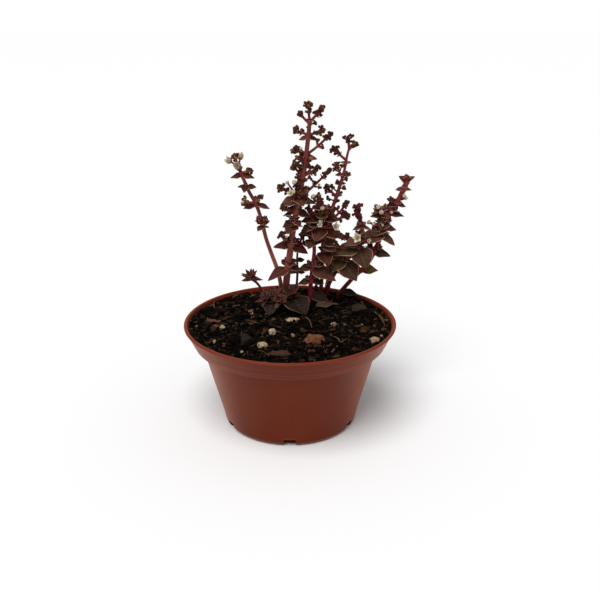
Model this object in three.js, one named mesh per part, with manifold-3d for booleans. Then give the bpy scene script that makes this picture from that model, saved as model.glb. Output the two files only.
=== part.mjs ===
// A young red-stemmed succulent herb in a shallow plastic nursery pot.
// Millimetres, +Z up. The origin is the middle of the underside of the pot.
// The tallest stems stand behind the middle of the pot, towards +Y.

import * as THREE from 'three';
import { mergeVertices } from 'three/addons/utils/BufferGeometryUtils.js';
import Module from 'manifold-3d';

const wasm = await Module();
wasm.setup();

// Driving dimensions

const POT_RIM_RADIUS = 60;
const POT_HEIGHT = 60;
const POT_WALL = 1.1;
const POT_SIDES = 36;
const LIP_WIDTH = 2.2;
const LIP_HEIGHT = 1.2;
const COLLAR_FOOT_RADIUS = 54.4;
const COLLAR_FOOT_HEIGHT = 48.6;
const BODY_TOP_RADIUS = 50.4;
const BODY_FOOT_RADIUS = 39.2;
const CORNER_HEIGHT = 6.2;
const CORNER_CURVE = [[37.2, 0.7], [38.5, 2.4]];
const CORNER_FLOOR = 5.4;
const FOOT_RADIUS = 35.4;
const LIP_ROUND = 0.4;
const PAD_RADIUS = 22;
const CHANNEL_DEPTH = 2.2;
const CHANNEL_INNER = 24;
const CHANNEL_OUTER = 31;
const NOTCH_COUNT = 6;
const NOTCH_WIDTH = 6.6;
const NOTCH_HEIGHT = 4;
const NOTCH_LENGTH = 10.6;
const DRAIN_RADIUS = 2.6;
const DRAIN_SIDES = 8;

const CLEARANCE = 0.3;
const SOIL_LEVEL = 59;
const SOIL_RINGS = [46, 30, 0];
const STEM_FOOT = 50;
const STEM_HOLE_MARGIN = 0.8;
const STEM_HOLE_DEPTH = 16;

const STEM_SIDES = 5;
const STEM_STEP = 12;
const TWIG_SIDES = 3;
const TWIG_RADIUS = 0.85;
const STALK_RADIUS = 0.7;
const TWIG_TIP_RADIUS = 0.5;
const TWIG_SAG = 0.08;
const BLADE_THICKNESS = 1.2;
const BLADE_FOLD = 0.22;
const BLADE_DROOP = 0.12;
const LEAF_SHAPE = 0.8;
const BUD_RADIUS = 1;
const BUD_LENGTH = 2.4;
const AXIL = 1.6;
const PETAL_COUNT = 5;
const PETAL_THICKNESS = 0.7;
const PETAL_SHAPE = 0.5;
const PETAL_SPLAY = THREE.MathUtils.degToRad(46);
const CLOSED_LENGTH = 1.35;
const CLOSED_RADIUS = 0.62;
const GOLDEN_ANGLE = THREE.MathUtils.degToRad(137.5);

const UP = new THREE.Vector3(0, 0, 1);
const LEAF_FACE = new THREE.Vector3(0, -0.45, 1);

// Materials

function finish(colour, roughness) {
  return new THREE.MeshStandardMaterial({ color: colour, roughness, metalness: 0 });
}

const potPlastic = finish(0x8a3f2a, 0.42);
const darkSoil = finish(0x2a221b, 0.95);
const redBark = finish(0x6d4632, 0.85);
const paleStone = finish(0xb9ab92, 0.85);
const redFoliage = finish(0x5a3831, 0.5);
const dryLeaf = finish(0x5e4630, 0.8);
const creamPetal = finish(0xd8d6c0, 0.6);

// Repeatable random draws

function drawsFrom(seed) {
  const modulus = 2147483647;
  let state = seed;
  return function draw() {
    state = (state * 16807) % modulus;
    return state / modulus;
  };
}

// Closed geometry to a solid, and a solid to a named mesh

function solid(geometry) {
  const bare = geometry.clone();
  bare.deleteAttribute('normal');
  bare.deleteAttribute('uv');
  const merged = mergeVertices(bare, 1e-4);
  const corners = merged.index.array;
  const kept = [];
  for (let i = 0; i < corners.length; i += 3) {
    const [a, b, c] = [corners[i], corners[i + 1], corners[i + 2]];
    if (a !== b && b !== c && c !== a) {
      kept.push(a, b, c);
    }
  }
  const mesh = new wasm.Mesh({
    numProp: 3,
    vertProperties: new Float32Array(merged.attributes.position.array),
    triVerts: new Uint32Array(kept),
  });
  return new wasm.Manifold(mesh);
}

function fused(solids) {
  let whole = solids[0];
  for (const piece of solids.slice(1)) {
    whole = whole.add(piece);
  }
  return whole;
}

function namedMesh(name, body, material) {
  const data = body.getMesh();
  const geometry = new THREE.BufferGeometry();
  geometry.setAttribute('position', new THREE.BufferAttribute(data.vertProperties, 3));
  geometry.setIndex(new THREE.BufferAttribute(data.triVerts, 1));
  geometry.computeVertexNormals();
  const mesh = new THREE.Mesh(geometry, material);
  mesh.name = name;
  return mesh;
}

function eachVertex(geometry, move) {
  const position = geometry.attributes.position;
  const vertex = new THREE.Vector3();
  for (let i = 0; i < position.count; i += 1) {
    vertex.fromBufferAttribute(position, i);
    move(vertex);
    position.setXYZ(i, vertex.x, vertex.y, vertex.z);
  }
  return geometry;
}

function vector(place) {
  return new THREE.Vector3(...place);
}

function turned(profile, sides) {
  const points = profile.map(([radius, height]) => new THREE.Vector2(radius, height));
  return new THREE.LatheGeometry(points, sides).rotateX(Math.PI / 2);
}

// Stems and twigs: a cylinder bent along a curve, thinner towards its tip

function bentRod(curve, startRadius, endRadius, sides, steps) {
  const frames = curve.computeFrenetFrames(steps, false);
  const rod = new THREE.CylinderGeometry(1, 1, 1, sides, steps);
  eachVertex(rod, (vertex) => {
    const along = vertex.y + 0.5;
    const step = Math.round(along * steps);
    const radius = THREE.MathUtils.lerp(startRadius, endRadius, along);
    const centre = curve.getPointAt(along);
    const { x, z } = vertex;
    vertex.copy(centre);
    vertex.addScaledVector(frames.normals[step], x * radius);
    vertex.addScaledVector(frames.binormals[step], -z * radius);
  });
  return solid(rod);
}

function stemCurve(path) {
  return new THREE.CatmullRomCurve3(path.map(vector), false, 'centripetal');
}

function pointAtHeight(curve, height) {
  let low = 0;
  let high = 1;
  for (let i = 0; i < 24; i += 1) {
    const middle = (low + high) / 2;
    if (curve.getPointAt(middle).z < height) {
      low = middle;
    } else {
      high = middle;
    }
  }
  return curve.getPointAt((low + high) / 2);
}

// Leaves: a sphere drawn out to a keeled, pointed blade that is broad near its foot

function blade(foot, tip, width) {
  const axis = tip.clone().sub(foot);
  const length = axis.length();
  axis.normalize();
  const face = LEAF_FACE.clone().addScaledVector(axis, -LEAF_FACE.dot(axis)).normalize();
  const side = new THREE.Vector3().crossVectors(axis, face);
  const leaf = new THREE.SphereGeometry(1, 4, 3);
  eachVertex(leaf, (vertex) => {
    const turn = Math.acos(THREE.MathUtils.clamp(vertex.y, -1, 1)) / Math.PI;
    const along = turn ** 1.2;
    const ring = Math.max(Math.hypot(vertex.x, vertex.z), 1e-6);
    const spread = (Math.max(0, Math.sin(Math.PI * along ** 0.67)) ** 0.95 * width) / 2;
    const across = (vertex.x / ring) * spread;
    const depth = (vertex.z / ring) * BLADE_THICKNESS * 0.5 * Math.sin(Math.PI * along ** 0.7);
    const droop = length * BLADE_DROOP * along * along;
    const pole = turn < 1e-3 || turn > 1 - 1e-3;
    const lift = pole ? 0 : depth + BLADE_FOLD * Math.abs(across);
    vertex.copy(foot).addScaledVector(axis, along * length);
    vertex.addScaledVector(side, pole ? 0 : -across);
    vertex.addScaledVector(face, lift - droop);
  });
  return solid(leaf);
}

function bladeFrom(curve, [height, azimuth, length, tilt, shape = LEAF_SHAPE]) {
  const foot = pointAtHeight(curve, height);
  const heading = THREE.MathUtils.degToRad(azimuth);
  const rise = THREE.MathUtils.degToRad(tilt);
  const reach = new THREE.Vector3(
    Math.cos(rise) * Math.cos(heading),
    Math.cos(rise) * Math.sin(heading),
    Math.sin(rise),
  );
  const tip = foot.clone().addScaledVector(reach, length);
  return blade(foot, tip, length * shape);
}

// Flower sprays: a twig with a knot of buds round its end

function bud(foot, direction, length, radius, sides = 4) {
  const shape = new THREE.SphereGeometry(1, sides, 2);
  eachVertex(shape, (vertex) => {
    const along = (vertex.y + 1) / 2;
    const height = along > 0.4 && along < 0.6 ? 0.62 : along;
    vertex.set(vertex.x * radius, height * length, vertex.z * radius);
  });
  const turn = new THREE.Quaternion().setFromUnitVectors(new THREE.Vector3(0, 1, 0), direction);
  shape.applyQuaternion(turn);
  shape.translate(foot.x, foot.y, foot.z);
  return solid(shape);
}

function budKnot(twig, count, draw) {
  const direction = twig.getTangent(1);
  const turn = new THREE.Quaternion().setFromUnitVectors(UP, direction);
  const end = twig.getPoint(1);
  const knot = [];
  for (let i = 0; i < count; i += 1) {
    const away = 0.25 + (1.35 * i) / count;
    const round = i * GOLDEN_ANGLE + draw() * 0.6;
    const outward = new THREE.Vector3(
      Math.sin(away) * Math.cos(round),
      Math.sin(away) * Math.sin(round),
      Math.cos(away),
    ).applyQuaternion(turn);
    const foot = end.clone().addScaledVector(direction, -0.4 - 0.45 * i);
    const size = 0.85 + 0.3 * draw();
    knot.push(bud(foot, outward, BUD_LENGTH * size, BUD_RADIUS * size));
  }
  return knot;
}

function twigCurve(start, end) {
  const middle = start.clone().lerp(end, 0.5);
  middle.z -= start.distanceTo(end) * TWIG_SAG;
  return new THREE.QuadraticBezierCurve3(start, middle, end);
}

function spray(curve, [height, end, count], draw) {
  const twig = twigCurve(pointAtHeight(curve, height + AXIL), vector(end));
  const rod = bentRod(twig, TWIG_RADIUS, TWIG_TIP_RADIUS, TWIG_SIDES, 2);
  return [rod, ...budKnot(twig, count, draw)];
}

// Blooms, on a stalk that stops just short of them: five pointed petals round a small heart,
// or, where a bloom is still half closed, one drop with a side for each petal

function bloomStalk(curve, [height, place, radius], halfClosed) {
  const centre = vector(place);
  const start = pointAtHeight(curve, height + AXIL);
  const direction = centre.clone().sub(start).normalize();
  const end = centre.clone().addScaledVector(direction, -CLEARANCE);
  const twig = twigCurve(start, end);
  const rod = bentRod(twig, STALK_RADIUS, TWIG_TIP_RADIUS, TWIG_SIDES, 2);
  return { rod, direction, centre, radius, halfClosed };
}

function petal(length, azimuth) {
  const shape = new THREE.SphereGeometry(1, 4, 2);
  eachVertex(shape, (vertex) => {
    const along = (vertex.y + 1) / 2;
    const widest = along > 0.4 && along < 0.6;
    const reach = (widest ? 0.58 : along) * length;
    vertex.set(vertex.x * PETAL_THICKNESS * 0.5, reach, vertex.z * length * PETAL_SHAPE * 0.5);
  });
  shape.rotateZ(-PETAL_SPLAY).rotateY(azimuth);
  return shape;
}

function bloom({ direction, centre, radius, halfClosed }, draw) {
  if (halfClosed) {
    return bud(centre, direction, radius * CLOSED_LENGTH, radius * CLOSED_RADIUS, PETAL_COUNT);
  }
  const turn = new THREE.Quaternion().setFromUnitVectors(new THREE.Vector3(0, 1, 0), direction);
  const heart = new THREE.CylinderGeometry(radius * 0.3, radius * 0.16, radius * 0.6, 4);
  const pieces = [heart.translate(0, radius * 0.3, 0)];
  for (let i = 0; i < PETAL_COUNT; i += 1) {
    const azimuth = ((i + 0.2 * draw()) * 2 * Math.PI) / PETAL_COUNT;
    pieces.push(petal(radius * (1.3 + 0.16 * draw()), azimuth));
  }
  return fused(pieces.map((piece) => {
    return solid(piece.applyQuaternion(turn).translate(centre.x, centre.y, centre.z));
  }));
}

// Leafy stems. Each pair of leaves is [height, azimuth, length, tilt], an azimuth of 0 being +X
// and 90 being +Y. Each spray is [height on the stem, end of its twig, number of buds].
// Each bloom is [height on the stem, foot of the flower, radius].
// The last plan is a side shoot of the arched stem.

const leafyStems = [
  {
    node: 'main',
    path: [
      [-4, 26, 50], [-3, 25, 62], [-2.6, 24, 73], [-0.8, 23, 88], [1.8, 22, 108], [5, 22, 125],
      [8, 22, 142], [10, 22, 158], [11, 22, 168.6],
    ],
    radii: [2.4, 1.15],
    pairs: [
      [85, 130, 7, 22], [109, 70, 10, -8, 0.85], [117, 172, 8.5, -12, 0.85],
      [124, 12, 11, -8, 0.85], [125, 104, 10, -8, 0.85], [136, 80, 7, -10], [148, 176, 6.5, -2],
      [159, 4, 5.5, -8], [168, 0, 3, 15],
    ],
    singles: [
      [83, 216, 15, -14, 0.6], [83, 8, 9, -4], [97, 178, 10.5, 0, 0.8],
      [97, 352, 11, -18, 0.85], [111, 214, 8, -8, 0.75], [112, 300, 7, -8],
    ],
    sprays: [
      [97, [-5, 19, 105], 3], [117, [-4, 20, 120], 3], [124, [-6, 25, 131], 3],
      [124, [9, 16, 130], 3], [124, [22, 27, 140], 3], [136, [2, 24, 143], 3],
      [136, [15, 19, 143], 3], [148, [3, 17, 145], 3], [148, [3, 25, 152], 3],
      [148, [22, 20, 161], 3], [159, [3, 26, 163], 3], [159, [17.5, 18, 163.5], 4],
      [165, [5.5, 22, 172], 2], [166, [10, 22, 177], 3], [166, [17.5, 21, 175], 3],
    ],
    blooms: [[124, [1, 16, 129], 2.2], [124, [-1, 19, 134], 1.6]],
    seed: 11,
  },
  {
    node: 'thin',
    path: [[2, 33, 50], [3, 32, 62], [4, 30, 77], [4, 28, 90], [5, 27, 98]],
    radii: [0.9, 0.6],
    pairs: [[79, 10, 5, -8], [86, 20, 5, 8]],
    singles: [],
    sprays: [[90, [7, 26, 103], 4]],
    blooms: [],
    seed: 12,
  },
  {
    node: 'left',
    path: [
      [-8, 30, 50], [-7, 29, 61], [-6, 28, 71], [-8, 26, 82], [-11, 23, 92], [-14, 19, 103],
      [-16, 17, 113], [-19, 16, 123], [-23, 15, 131], [-26, 14, 139], [-28.5, 14, 146],
    ],
    radii: [1.4, 0.9],
    pairs: [
      [110, 60, 6, -10], [111, 150, 5, 30], [122.5, 178, 8, -10], [133, 170, 5.5, 5],
      [134, 80, 6, -25], [139.5, 178, 7, -6],
    ],
    singles: [],
    sprays: [
      [122.5, [-25, 13, 125], 3], [122.5, [-18, 17, 126], 3], [139.5, [-23, 15, 142], 3],
      [143.5, [-30, 14.4, 149.8], 3],
    ],
    blooms: [
      [143, [-31.6, 13, 147], 2.5], [143, [-27.4, 16, 148], 2.5], [141, [-28, 11, 144.5], 2.8],
    ],
    halfClosed: true,
    seed: 13,
  },
  {
    node: 'star',
    path: [[-11, 25, 50], [-13, 22, 61], [-17, 18, 72], [-20, 16, 77], [-23, 14, 80]],
    radii: [0.9, 0.7],
    pairs: [[78, 100, 6.5, 20, 0.4], [79, 10, 6.5, 0, 0.4], [79.5, 55, 6, 40, 0.4]],
    singles: [],
    sprays: [],
    blooms: [],
    seed: 14,
  },
  {
    node: 'low_left',
    path: [[-9, 20, 50], [-9, 18, 60], [-10, 16, 68]],
    radii: [1.1, 0.9],
    pairs: [[64, 20, 10, 4], [65.5, 58, 7.5, 14], [67, 66, 8, 32]],
    singles: [[66.5, 256, 13, -24, 0.85]],
    sprays: [],
    blooms: [],
    seed: 15,
  },
  {
    node: 'low_front',
    path: [[1, 20, 50], [1, 18, 58], [0, 18, 72]],
    radii: [1.1, 0.9],
    pairs: [],
    singles: [
      [66.5, 302, 17, -14, 0.95], [71, 262, 9, 8, 0.9], [71, 55, 8, 20], [66, 355, 9, 4],
      [67.5, 186, 7, 12],
    ],
    sprays: [],
    blooms: [],
    seed: 16,
  },
  {
    node: 'centre',
    path: [
      [12, 33, 50], [12, 31, 60], [12, 29, 71], [13, 28, 82], [14, 27, 93], [13, 26, 103],
      [12, 25, 112], [11, 25, 119],
    ],
    radii: [1.5, 0.9],
    pairs: [
      [73, 186, 8.5, -6], [99, 252, 10, -8, 0.8], [108, 228, 8.4, -12], [109, 104, 7.4, 0],
    ],
    singles: [
      [64, 332, 13, -6, 0.6], [81, 338, 16, -16, 0.66], [82, 190, 9, -2], [97, 150, 9, 0],
    ],
    sprays: [[103, [8, 21, 105], 3], [112, [11.5, 21, 118], 2]],
    blooms: [],
    seed: 17,
  },
  {
    node: 'centre',
    path: [
      [17, 37, 50], [18, 35, 62], [19, 32, 78], [19, 29, 92], [19, 27, 103], [18, 25, 112],
      [17, 23, 119], [16, 20, 125],
    ],
    radii: [1.35, 0.8],
    pairs: [
      [98, 165, 11, -8], [105, 345, 13, -10, 0.8], [113, 10, 12, -4], [114, 100, 9, 8],
      [119, 45, 7, 12],
    ],
    singles: [
      [106.5, 244, 12, -22, 0.8], [91, 288, 12, -20], [96, 322, 10, -10, 0.8],
      [85, 215, 10, -4],
    ],
    sprays: [[119, [16, 17, 127], 3], [112, [24, 21, 118], 3]],
    blooms: [[105, [25, 20, 109], 3], [108, [17, 17, 111], 1.6]],
    seed: 18,
  },
  {
    node: 'tall_right',
    path: [
      [22, 43, 50], [22, 41, 60], [24, 38, 76], [25, 37, 86], [24, 35, 98], [23.5, 34, 107],
      [24.5, 34, 116], [27, 34, 124], [29, 34, 131], [31, 34, 138], [32.5, 34, 147],
      [34, 34, 153],
    ],
    radii: [2.0, 0.65],
    pairs: [
      [78, 12, 8.5, -20], [86, 188, 13, 0], [94, 80, 9, 12], [124, 0, 3.5, 10],
      [131, 10, 3.5, 5], [136, 0, 5, 5], [143, 178, 3.5, 12],
    ],
    singles: [],
    sprays: [
      [107, [33, 33, 120], 3], [107, [33, 31, 113], 3], [98, [34, 33, 99], 3],
      [122, [21, 35, 129], 3], [133, [26.5, 35, 142], 3], [143, [25, 35, 151], 3],
      [149, [36.5, 34, 154], 3], [150, [32.8, 34, 157], 3],
    ],
    blooms: [],
    seed: 19,
  },
  {
    node: 'right',
    path: [
      [19, 40, 50], [20, 38, 58], [23, 35, 69], [27, 32, 78], [31, 30, 85], [36, 29, 89],
      [41, 28, 96], [42, 27, 104], [41, 27, 110], [39, 27, 118],
    ],
    radii: [1.5, 0.9],
    pairs: [[102, 100, 5, 5], [107, 183, 6, -12]],
    singles: [
      [99, 200, 12, -8, 0.8], [93, 195, 16, -4, 0.85], [94, 297, 14, -44, 1.0],
      [84.5, 318, 14.5, -35, 1.0], [84, 158, 7, 0], [86, 215, 11, -25, 0.85],
    ],
    sprays: [[110, [38, 26, 115], 3], [113, [39, 27, 119], 3]],
    blooms: [[98, [39, 21, 102], 3], [98, [45, 23, 100], 1.5]],
    seed: 20,
  },
  {
    node: 'arched',
    path: [
      [28, 40, 50], [30, 39, 61], [37, 38, 71], [47, 38, 82], [53, 38, 95.5], [57, 38, 109],
      [63, 38, 119.5], [67.5, 38, 130], [68.5, 38, 134],
    ],
    radii: [1.25, 1.5],
    pairs: [
      [77, 357, 10.5, 5, 0.9], [88, 353, 10.5, -4, 0.9], [99, 345, 10.5, -28],
      [104, 15, 9, -10], [112, 169, 9, -1], [118, 2, 6.5, -10], [119, 100, 6, 6],
      [127, 0, 5, -2], [128, 90, 4, 8], [131, 0, 6, 42, 0.9], [131.5, 90, 5.5, 50, 0.9],
    ],
    singles: [
      [63, 350, 11, -4, 0.55], [100, 218, 16, -8, 0.8], [105, 218, 11, -25, 0.9],
      [105, 85, 9, -10], [107, 250, 8, -20, 0.9],
    ],
    sprays: [[108, [51, 36, 115], 2], [113, [59, 36, 121], 2]],
    blooms: [
      [103, [49, 30, 108], 1.7], [103, [54, 31, 107], 1.5], [110, [59, 33, 114], 1.7],
      [119, [67, 35, 122], 1.5],
    ],
    halfClosed: true,
    seed: 21,
  },
  {
    node: 'arched',
    path: [[57, 38, 108], [54.5, 37, 110], [52, 36, 112.5], [50.5, 36, 115]],
    radii: [0.75, 0.55],
    pairs: [[111.5, 5, 6, 0], [113.5, 95, 5, 20]],
    singles: [],
    sprays: [],
    blooms: [],
    seed: 22,
  },
];

function leafyStem(plan) {
  const draw = drawsFrom(plan.seed);
  const curve = stemCurve(plan.path);
  const steps = Math.max(3, Math.round(curve.getLength() / STEM_STEP));
  const pieces = [bentRod(curve, plan.radii[0], plan.radii[1], STEM_SIDES, steps)];
  for (const [height, azimuth, ...rest] of plan.pairs) {
    pieces.push(bladeFrom(curve, [height, azimuth, ...rest]));
    pieces.push(bladeFrom(curve, [height, azimuth + 180, ...rest]));
  }
  pieces.push(...plan.singles.map((leaf) => bladeFrom(curve, leaf)));
  for (const one of plan.sprays) {
    pieces.push(...spray(curve, one, draw));
  }
  const stalks = plan.blooms.map((one) => bloomStalk(curve, one, plan.halfClosed));
  pieces.push(...stalks.map((stalk) => stalk.rod));
  return { pieces, stalks };
}

// Stems whose leaves pass through one another share a node, so they are fused there

function leafyNode(node) {
  const grown = leafyStems.filter((plan) => plan.node === node).map(leafyStem);
  const body = fused(grown.flatMap((stem) => stem.pieces));
  const stalks = grown.flatMap((stem) => stem.stalks);
  const draw = drawsFrom(node.length * 7);
  const blooms = stalks.map((stalk, i) => {
    return namedMesh(`bloom_${node}_${i + 1}`, bloom(stalk, draw), creamPetal);
  });
  return [namedMesh(`leafy_stem_${node}`, body, redFoliage), ...blooms];
}

// Pot: one turned shell with a collar and a rounded lip, on a foot ring with notches

function rodBetween(start, end, radius, sides) {
  const axis = end.clone().sub(start);
  const rod = new THREE.CylinderGeometry(radius, radius, axis.length(), sides);
  rod.applyQuaternion(
    new THREE.Quaternion().setFromUnitVectors(new THREE.Vector3(0, 1, 0), axis.clone().normalize()),
  );
  const middle = start.clone().lerp(end, 0.5);
  rod.translate(middle.x, middle.y, middle.z);
  return solid(rod);
}

function pot() {
  const lipFoot = POT_HEIGHT - LIP_HEIGHT;
  const lipInside = POT_RIM_RADIUS - LIP_WIDTH;
  const floorTop = CHANNEL_DEPTH + POT_WALL;
  const shelf = COLLAR_FOOT_HEIGHT + POT_WALL;
  let body = solid(turned([
    [0, 0], [PAD_RADIUS, 0], [CHANNEL_INNER, CHANNEL_DEPTH], [CHANNEL_OUTER, CHANNEL_DEPTH],
    [CHANNEL_OUTER + 1.5, 0], [FOOT_RADIUS, 0], ...CORNER_CURVE,
    [BODY_FOOT_RADIUS, CORNER_HEIGHT], [BODY_TOP_RADIUS, COLLAR_FOOT_HEIGHT],
    [COLLAR_FOOT_RADIUS, COLLAR_FOOT_HEIGHT], [POT_RIM_RADIUS - 1, lipFoot],
    [POT_RIM_RADIUS, lipFoot + LIP_ROUND], [POT_RIM_RADIUS, POT_HEIGHT - LIP_ROUND],
    [POT_RIM_RADIUS - LIP_ROUND, POT_HEIGHT], [lipInside + LIP_ROUND, POT_HEIGHT],
    [lipInside, lipFoot],
    [COLLAR_FOOT_RADIUS - POT_WALL, shelf], [BODY_TOP_RADIUS - POT_WALL, shelf],
    [BODY_FOOT_RADIUS - POT_WALL, CORNER_HEIGHT], [FOOT_RADIUS, CORNER_FLOOR],
    [CHANNEL_INNER - 0.6, floorTop], [PAD_RADIUS - 0.6, POT_WALL], [0, POT_WALL],
  ], POT_SIDES));
  for (let i = 0; i < NOTCH_COUNT; i += 1) {
    const turn = ((i - 1.5) * 2 * Math.PI) / NOTCH_COUNT;
    const notch = new THREE.BoxGeometry(NOTCH_LENGTH, NOTCH_WIDTH, NOTCH_HEIGHT * 2);
    notch.translate(CHANNEL_OUTER + 5, 0, 0).rotateZ(turn);
    const drain = new THREE.CylinderGeometry(DRAIN_RADIUS, DRAIN_RADIUS, 4, DRAIN_SIDES);
    drain.rotateX(Math.PI / 2);
    drain.translate((CHANNEL_INNER + CHANNEL_OUTER) / 2, 0, floorTop - 0.5).rotateZ(turn);
    body = body.subtract(solid(notch)).subtract(solid(drain));
  }
  return body;
}

// Soil: a plug that fills the pot, with a lumpy top and a hole for each stem

function soilHeight(x, y) {
  const broad = Math.sin(x * 0.11 + 0.6) * Math.cos(y * 0.13 - 0.4);
  const fine = Math.sin(x * 0.37 + y * 0.21) * Math.cos(y * 0.33 - x * 0.17);
  return SOIL_LEVEL + 0.5 * broad + 0.45 * fine;
}

function soilPlug() {
  const edge = POT_RIM_RADIUS - LIP_WIDTH - 2 * CLEARANCE;
  const shelf = COLLAR_FOOT_HEIGHT + POT_WALL + CLEARANCE;
  const bodyTop = BODY_TOP_RADIUS - POT_WALL - CLEARANCE;
  const floor = CHANNEL_DEPTH + POT_WALL + CLEARANCE;
  const plug = turned([
    [0, POT_WALL + CLEARANCE], [PAD_RADIUS - 1, POT_WALL + CLEARANCE], [CHANNEL_INNER - 1, floor],
    [FOOT_RADIUS - 0.5, CORNER_FLOOR + CLEARANCE + 0.1],
    [BODY_FOOT_RADIUS - POT_WALL - CLEARANCE - 0.2, CORNER_HEIGHT + 0.5],
    [bodyTop, shelf], [COLLAR_FOOT_RADIUS - POT_WALL - CLEARANCE, shelf],
    ...[edge, ...SOIL_RINGS].map((radius) => [radius, SOIL_LEVEL]),
  ], POT_SIDES);
  eachVertex(plug, (vertex) => {
    if (vertex.z > SOIL_LEVEL - 0.01) {
      const inside = Math.hypot(vertex.x, vertex.y) < edge - 0.1;
      vertex.z = inside ? soilHeight(vertex.x, vertex.y) : SOIL_LEVEL - 0.4;
    }
  });
  return solid(plug);
}

function stemHole(plan) {
  const [low, high] = [pointAtHeight(stemCurve(plan.path), STEM_FOOT), vector(plan.path[1])];
  const lean = high.clone().sub(low).normalize();
  const bottom = low.clone().addScaledVector(lean, -CLEARANCE);
  const top = low.clone().addScaledVector(lean, STEM_HOLE_DEPTH);
  return rodBetween(bottom, top, plan.radii[0] + STEM_HOLE_MARGIN, 6);
}

// Bark chips and pale grains, each bedded in a shallow pocket of the soil

const bark = [
  { name: 'bark_chip_front', place: [14, -28, 60], size: [7, 4, 2], turn: 15, seed: 31 },
  { name: 'bark_chip_rim', place: [-5, -47, 59.4], size: [8, 3, 1.6], turn: -5, seed: 32 },
  { name: 'bark_chip_right', place: [41, 17, 59.8], size: [6, 4.5, 1.8], turn: 30, seed: 33 },
  { name: 'bark_chip_left', place: [-24, -29, 59.7], size: [6, 4.5, 2], turn: 50, seed: 34 },
  { name: 'bark_sliver', place: [-43, -3, 59.4], size: [5.5, 2.2, 1.2], turn: -20, seed: 35 },
];

const stones = [
  { name: 'perlite_large', place: [-9.5, -19, 60.2], size: [2.6, 2.2, 2.4], turn: 10, seed: 41 },
  { name: 'perlite_oval', place: [-14, -35.5, 59.7], size: [3.2, 2.3, 1.9], turn: 5, seed: 42 },
  { name: 'perlite_long', place: [1, 0, 59.6], size: [4.6, 2.2, 1.7], turn: 12, seed: 43 },
  { name: 'perlite_left', place: [-37.5, -10.5, 59.4], size: [1.8, 1.7, 1.5], turn: 0, seed: 44 },
  { name: 'perlite_right', place: [24.5, -6.5, 59.6], size: [2, 1.5, 1.4], turn: 0, seed: 45 },
  { name: 'pale_stone', place: [45.3, -28.5, 59.6], size: [3.2, 2.6, 2], turn: 20, seed: 46 },
];

function pebble({ place, size, turn, seed }, grow) {
  const draw = drawsFrom(seed);
  const stone = new THREE.IcosahedronGeometry(1, 0);
  const bare = mergeVertices(stone.deleteAttribute('normal').deleteAttribute('uv'), 1e-4);
  eachVertex(bare, (vertex) => {
    vertex.multiplyScalar(0.82 + 0.3 * draw());
    vertex.multiply(vector(size.map((half) => half + grow)));
  });
  bare.rotateZ(THREE.MathUtils.degToRad(turn)).translate(...place);
  return solid(bare);
}

// A shed leaf that has dried on the soil

function fallenLeaf() {
  const foot = new THREE.Vector3(15, 20, soilHeight(15, 20) + 1.4);
  const tip = new THREE.Vector3(29, 24, soilHeight(29, 24) + 2.6);
  return blade(foot, tip, 9);
}

// Assembly

const pottedHerb = new THREE.Group();
let soil = soilPlug();
for (const plan of leafyStems.filter(({ path }) => path[0][2] === STEM_FOOT)) {
  soil = soil.subtract(stemHole(plan));
}
for (const piece of [...bark, ...stones]) {
  soil = soil.subtract(pebble(piece, CLEARANCE * 1.3));
}
pottedHerb.add(namedMesh('pot', pot(), potPlastic));
pottedHerb.add(namedMesh('soil', soil, darkSoil));
for (const piece of bark) {
  pottedHerb.add(namedMesh(piece.name, pebble(piece, 0), redBark));
}
for (const piece of stones) {
  pottedHerb.add(namedMesh(piece.name, pebble(piece, 0), paleStone));
}
pottedHerb.add(namedMesh('fallen_leaf', fallenLeaf(), dryLeaf));
for (const node of new Set(leafyStems.map((plan) => plan.node))) {
  pottedHerb.add(...leafyNode(node));
}

export default pottedHerb;
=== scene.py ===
# %% [markdown]
# # A potted succulent herb in flower
# The object is a shallow plastic nursery pot, 120 mm across, filled with bark and peat mix.
# Eleven thin red stems grow from it. They carry stalkless leaves in opposite pairs, knots of
# small buds and a few cream flowers. A frame of plain solids fixes every size and place.
# This lesson puts a finer shape and a finish over each of those solids, in the same place.

import math

import bmesh
import bpy
from mathutils import Matrix, Vector, noise


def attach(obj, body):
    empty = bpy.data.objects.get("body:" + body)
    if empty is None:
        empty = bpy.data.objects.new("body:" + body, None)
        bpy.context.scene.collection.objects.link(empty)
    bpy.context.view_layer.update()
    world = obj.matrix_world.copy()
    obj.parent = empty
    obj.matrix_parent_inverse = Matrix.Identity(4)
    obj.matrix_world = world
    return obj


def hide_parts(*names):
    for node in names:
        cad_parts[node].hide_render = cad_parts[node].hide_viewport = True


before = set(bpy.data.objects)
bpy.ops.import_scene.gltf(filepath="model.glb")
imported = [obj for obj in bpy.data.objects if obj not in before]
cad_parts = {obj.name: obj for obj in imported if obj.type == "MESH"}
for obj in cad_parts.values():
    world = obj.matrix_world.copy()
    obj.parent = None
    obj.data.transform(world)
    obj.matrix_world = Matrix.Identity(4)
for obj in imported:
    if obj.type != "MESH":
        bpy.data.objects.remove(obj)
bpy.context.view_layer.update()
print("solids in the frame:", len(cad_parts))

# %% [markdown]
# ## Working in millimetres
# A plant in a pot is easier to think of in millimetres, but the scene is in metres. So every
# mesh is built in millimetres and scaled once, when it becomes a piece. The piece's object then
# stays at the origin with its place in its mesh, as the solids of the frame have it.

# %% Units, draws and the last step of each piece
MM = 0.001
UP = Vector((0, 0, 1))
GOLDEN_ANGLE = math.radians(137.5)


def draws_from(seed):
    """A repeatable stream of numbers between two bounds, 0 and 1 unless others are given."""
    state = seed

    def draw(low=0.0, high=1.0):
        nonlocal state
        state = state * 16807 % 2147483647
        return low + (high - low) * state / 2147483647

    return draw


def warmed(seed):
    """A stream whose first numbers don't follow the seed's size."""
    draw = draws_from(seed * 7919 + 13)
    for _ in range(4):
        draw()
    return draw


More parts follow.
